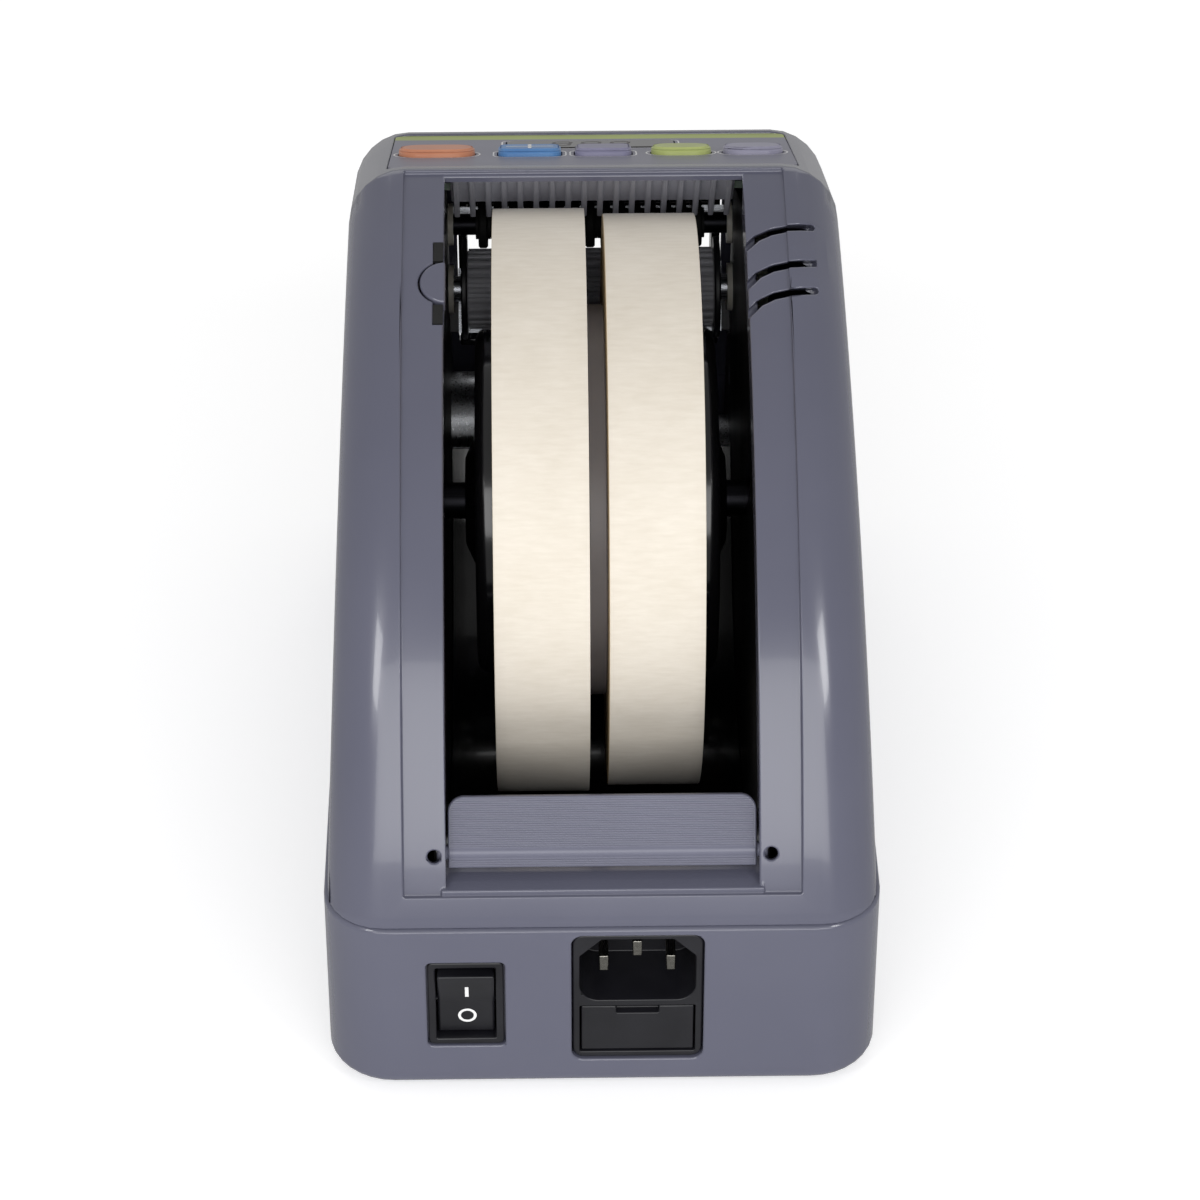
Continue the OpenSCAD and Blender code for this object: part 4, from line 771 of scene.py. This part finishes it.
# Floor, light and camera
stageSpec = {
    "floor": 12.0, "floorTones": ("#f7f7f7", "#f9f9f9"), "floorGlow": 0.4, "sky": 0.4,
    "lights": {
        "softboxLeft": {"at": (0.95, 1.2, 1.25), "size": (0.3, 0.4), "power": 4, "aim": (0, 0, 0.08)},
        "softboxRight": {"at": (-0.95, 1.2, 1.25), "size": (0.3, 0.4), "power": 4, "aim": (0, 0, 0.08)},
        "softboxFront": {"at": (0, 2.15, 1.2), "size": (2.4, 1.4), "power": 32, "aim": (0, 0, 0.08)},
        "softboxBack": {"at": (0, -2.15, 1.2), "size": (2.4, 1.4), "power": 7, "aim": (0, 0, 0.08)},
    },
    "camera": {"target": (0, 10, 75), "azimuth": 179.1, "elevation": 36.0, "distance": 950,
               "lens": 129.84, "sensor": 36, "shift": (0.00333, -0.0492)},
}
size = stageSpec["floor"]
# matt painted board: even white, with a glow of its own that keeps the ground pale
floorPaint = mouldedMaterial("whiteMattPaint", stageSpec["floorTones"], (0.55, 0.65), 1.5, 0.01, 400)
floorShader = floorPaint.node_tree.nodes["Principled BSDF"]
floorShader.inputs["Emission Color"].default_value = (1, 1, 1, 1)
floorShader.inputs["Emission Strength"].default_value = stageSpec["floorGlow"]
floor = meshObject("floor", [(-size, -size, 0), (size, -size, 0), (size, size, 0), (-size, size, 0)],
                   [(0, 1, 2, 3)], floorPaint)
floor.visible_glossy = False
scene.collection.objects.link(floor)

world = bpy.data.worlds.new("studio")
scene.world = world
world.use_nodes = True
world.node_tree.nodes["Background"].inputs["Color"].default_value = (1, 1, 1, 1)
world.node_tree.nodes["Background"].inputs["Strength"].default_value = stageSpec["sky"]

for lightName, spec in stageSpec["lights"].items():
    light = bpy.data.lights.new(lightName, "AREA")
    light.shape = "RECTANGLE"
    light.size, light.size_y = spec["size"]
    light.energy = spec["power"]
    lamp = bpy.data.objects.new(lightName, light)
    lamp.location = spec["at"]
    lamp.rotation_euler = (Vector(spec["aim"]) - Vector(spec["at"])).to_track_quat("-Z", "Y").to_euler()
    scene.collection.objects.link(lamp)

spec = stageSpec["camera"]
a, e = math.radians(spec["azimuth"]), math.radians(spec["elevation"])
target = Vector(spec["target"]) * mm
camera = bpy.data.objects.new("camera", bpy.data.cameras.new("camera"))
away = Vector((math.sin(a) * math.cos(e), -math.cos(a) * math.cos(e), math.sin(e)))
camera.location = target + spec["distance"] * mm * away
camera.rotation_euler = (target - camera.location).to_track_quat("-Z", "Y").to_euler()
camera.data.lens = spec["lens"]
camera.data.sensor_width = spec["sensor"]
camera.data.shift_x, camera.data.shift_y = spec["shift"]
scene.collection.objects.link(camera)
scene.camera = camera
scene.view_settings.view_transform = "Standard"

print("stage set")
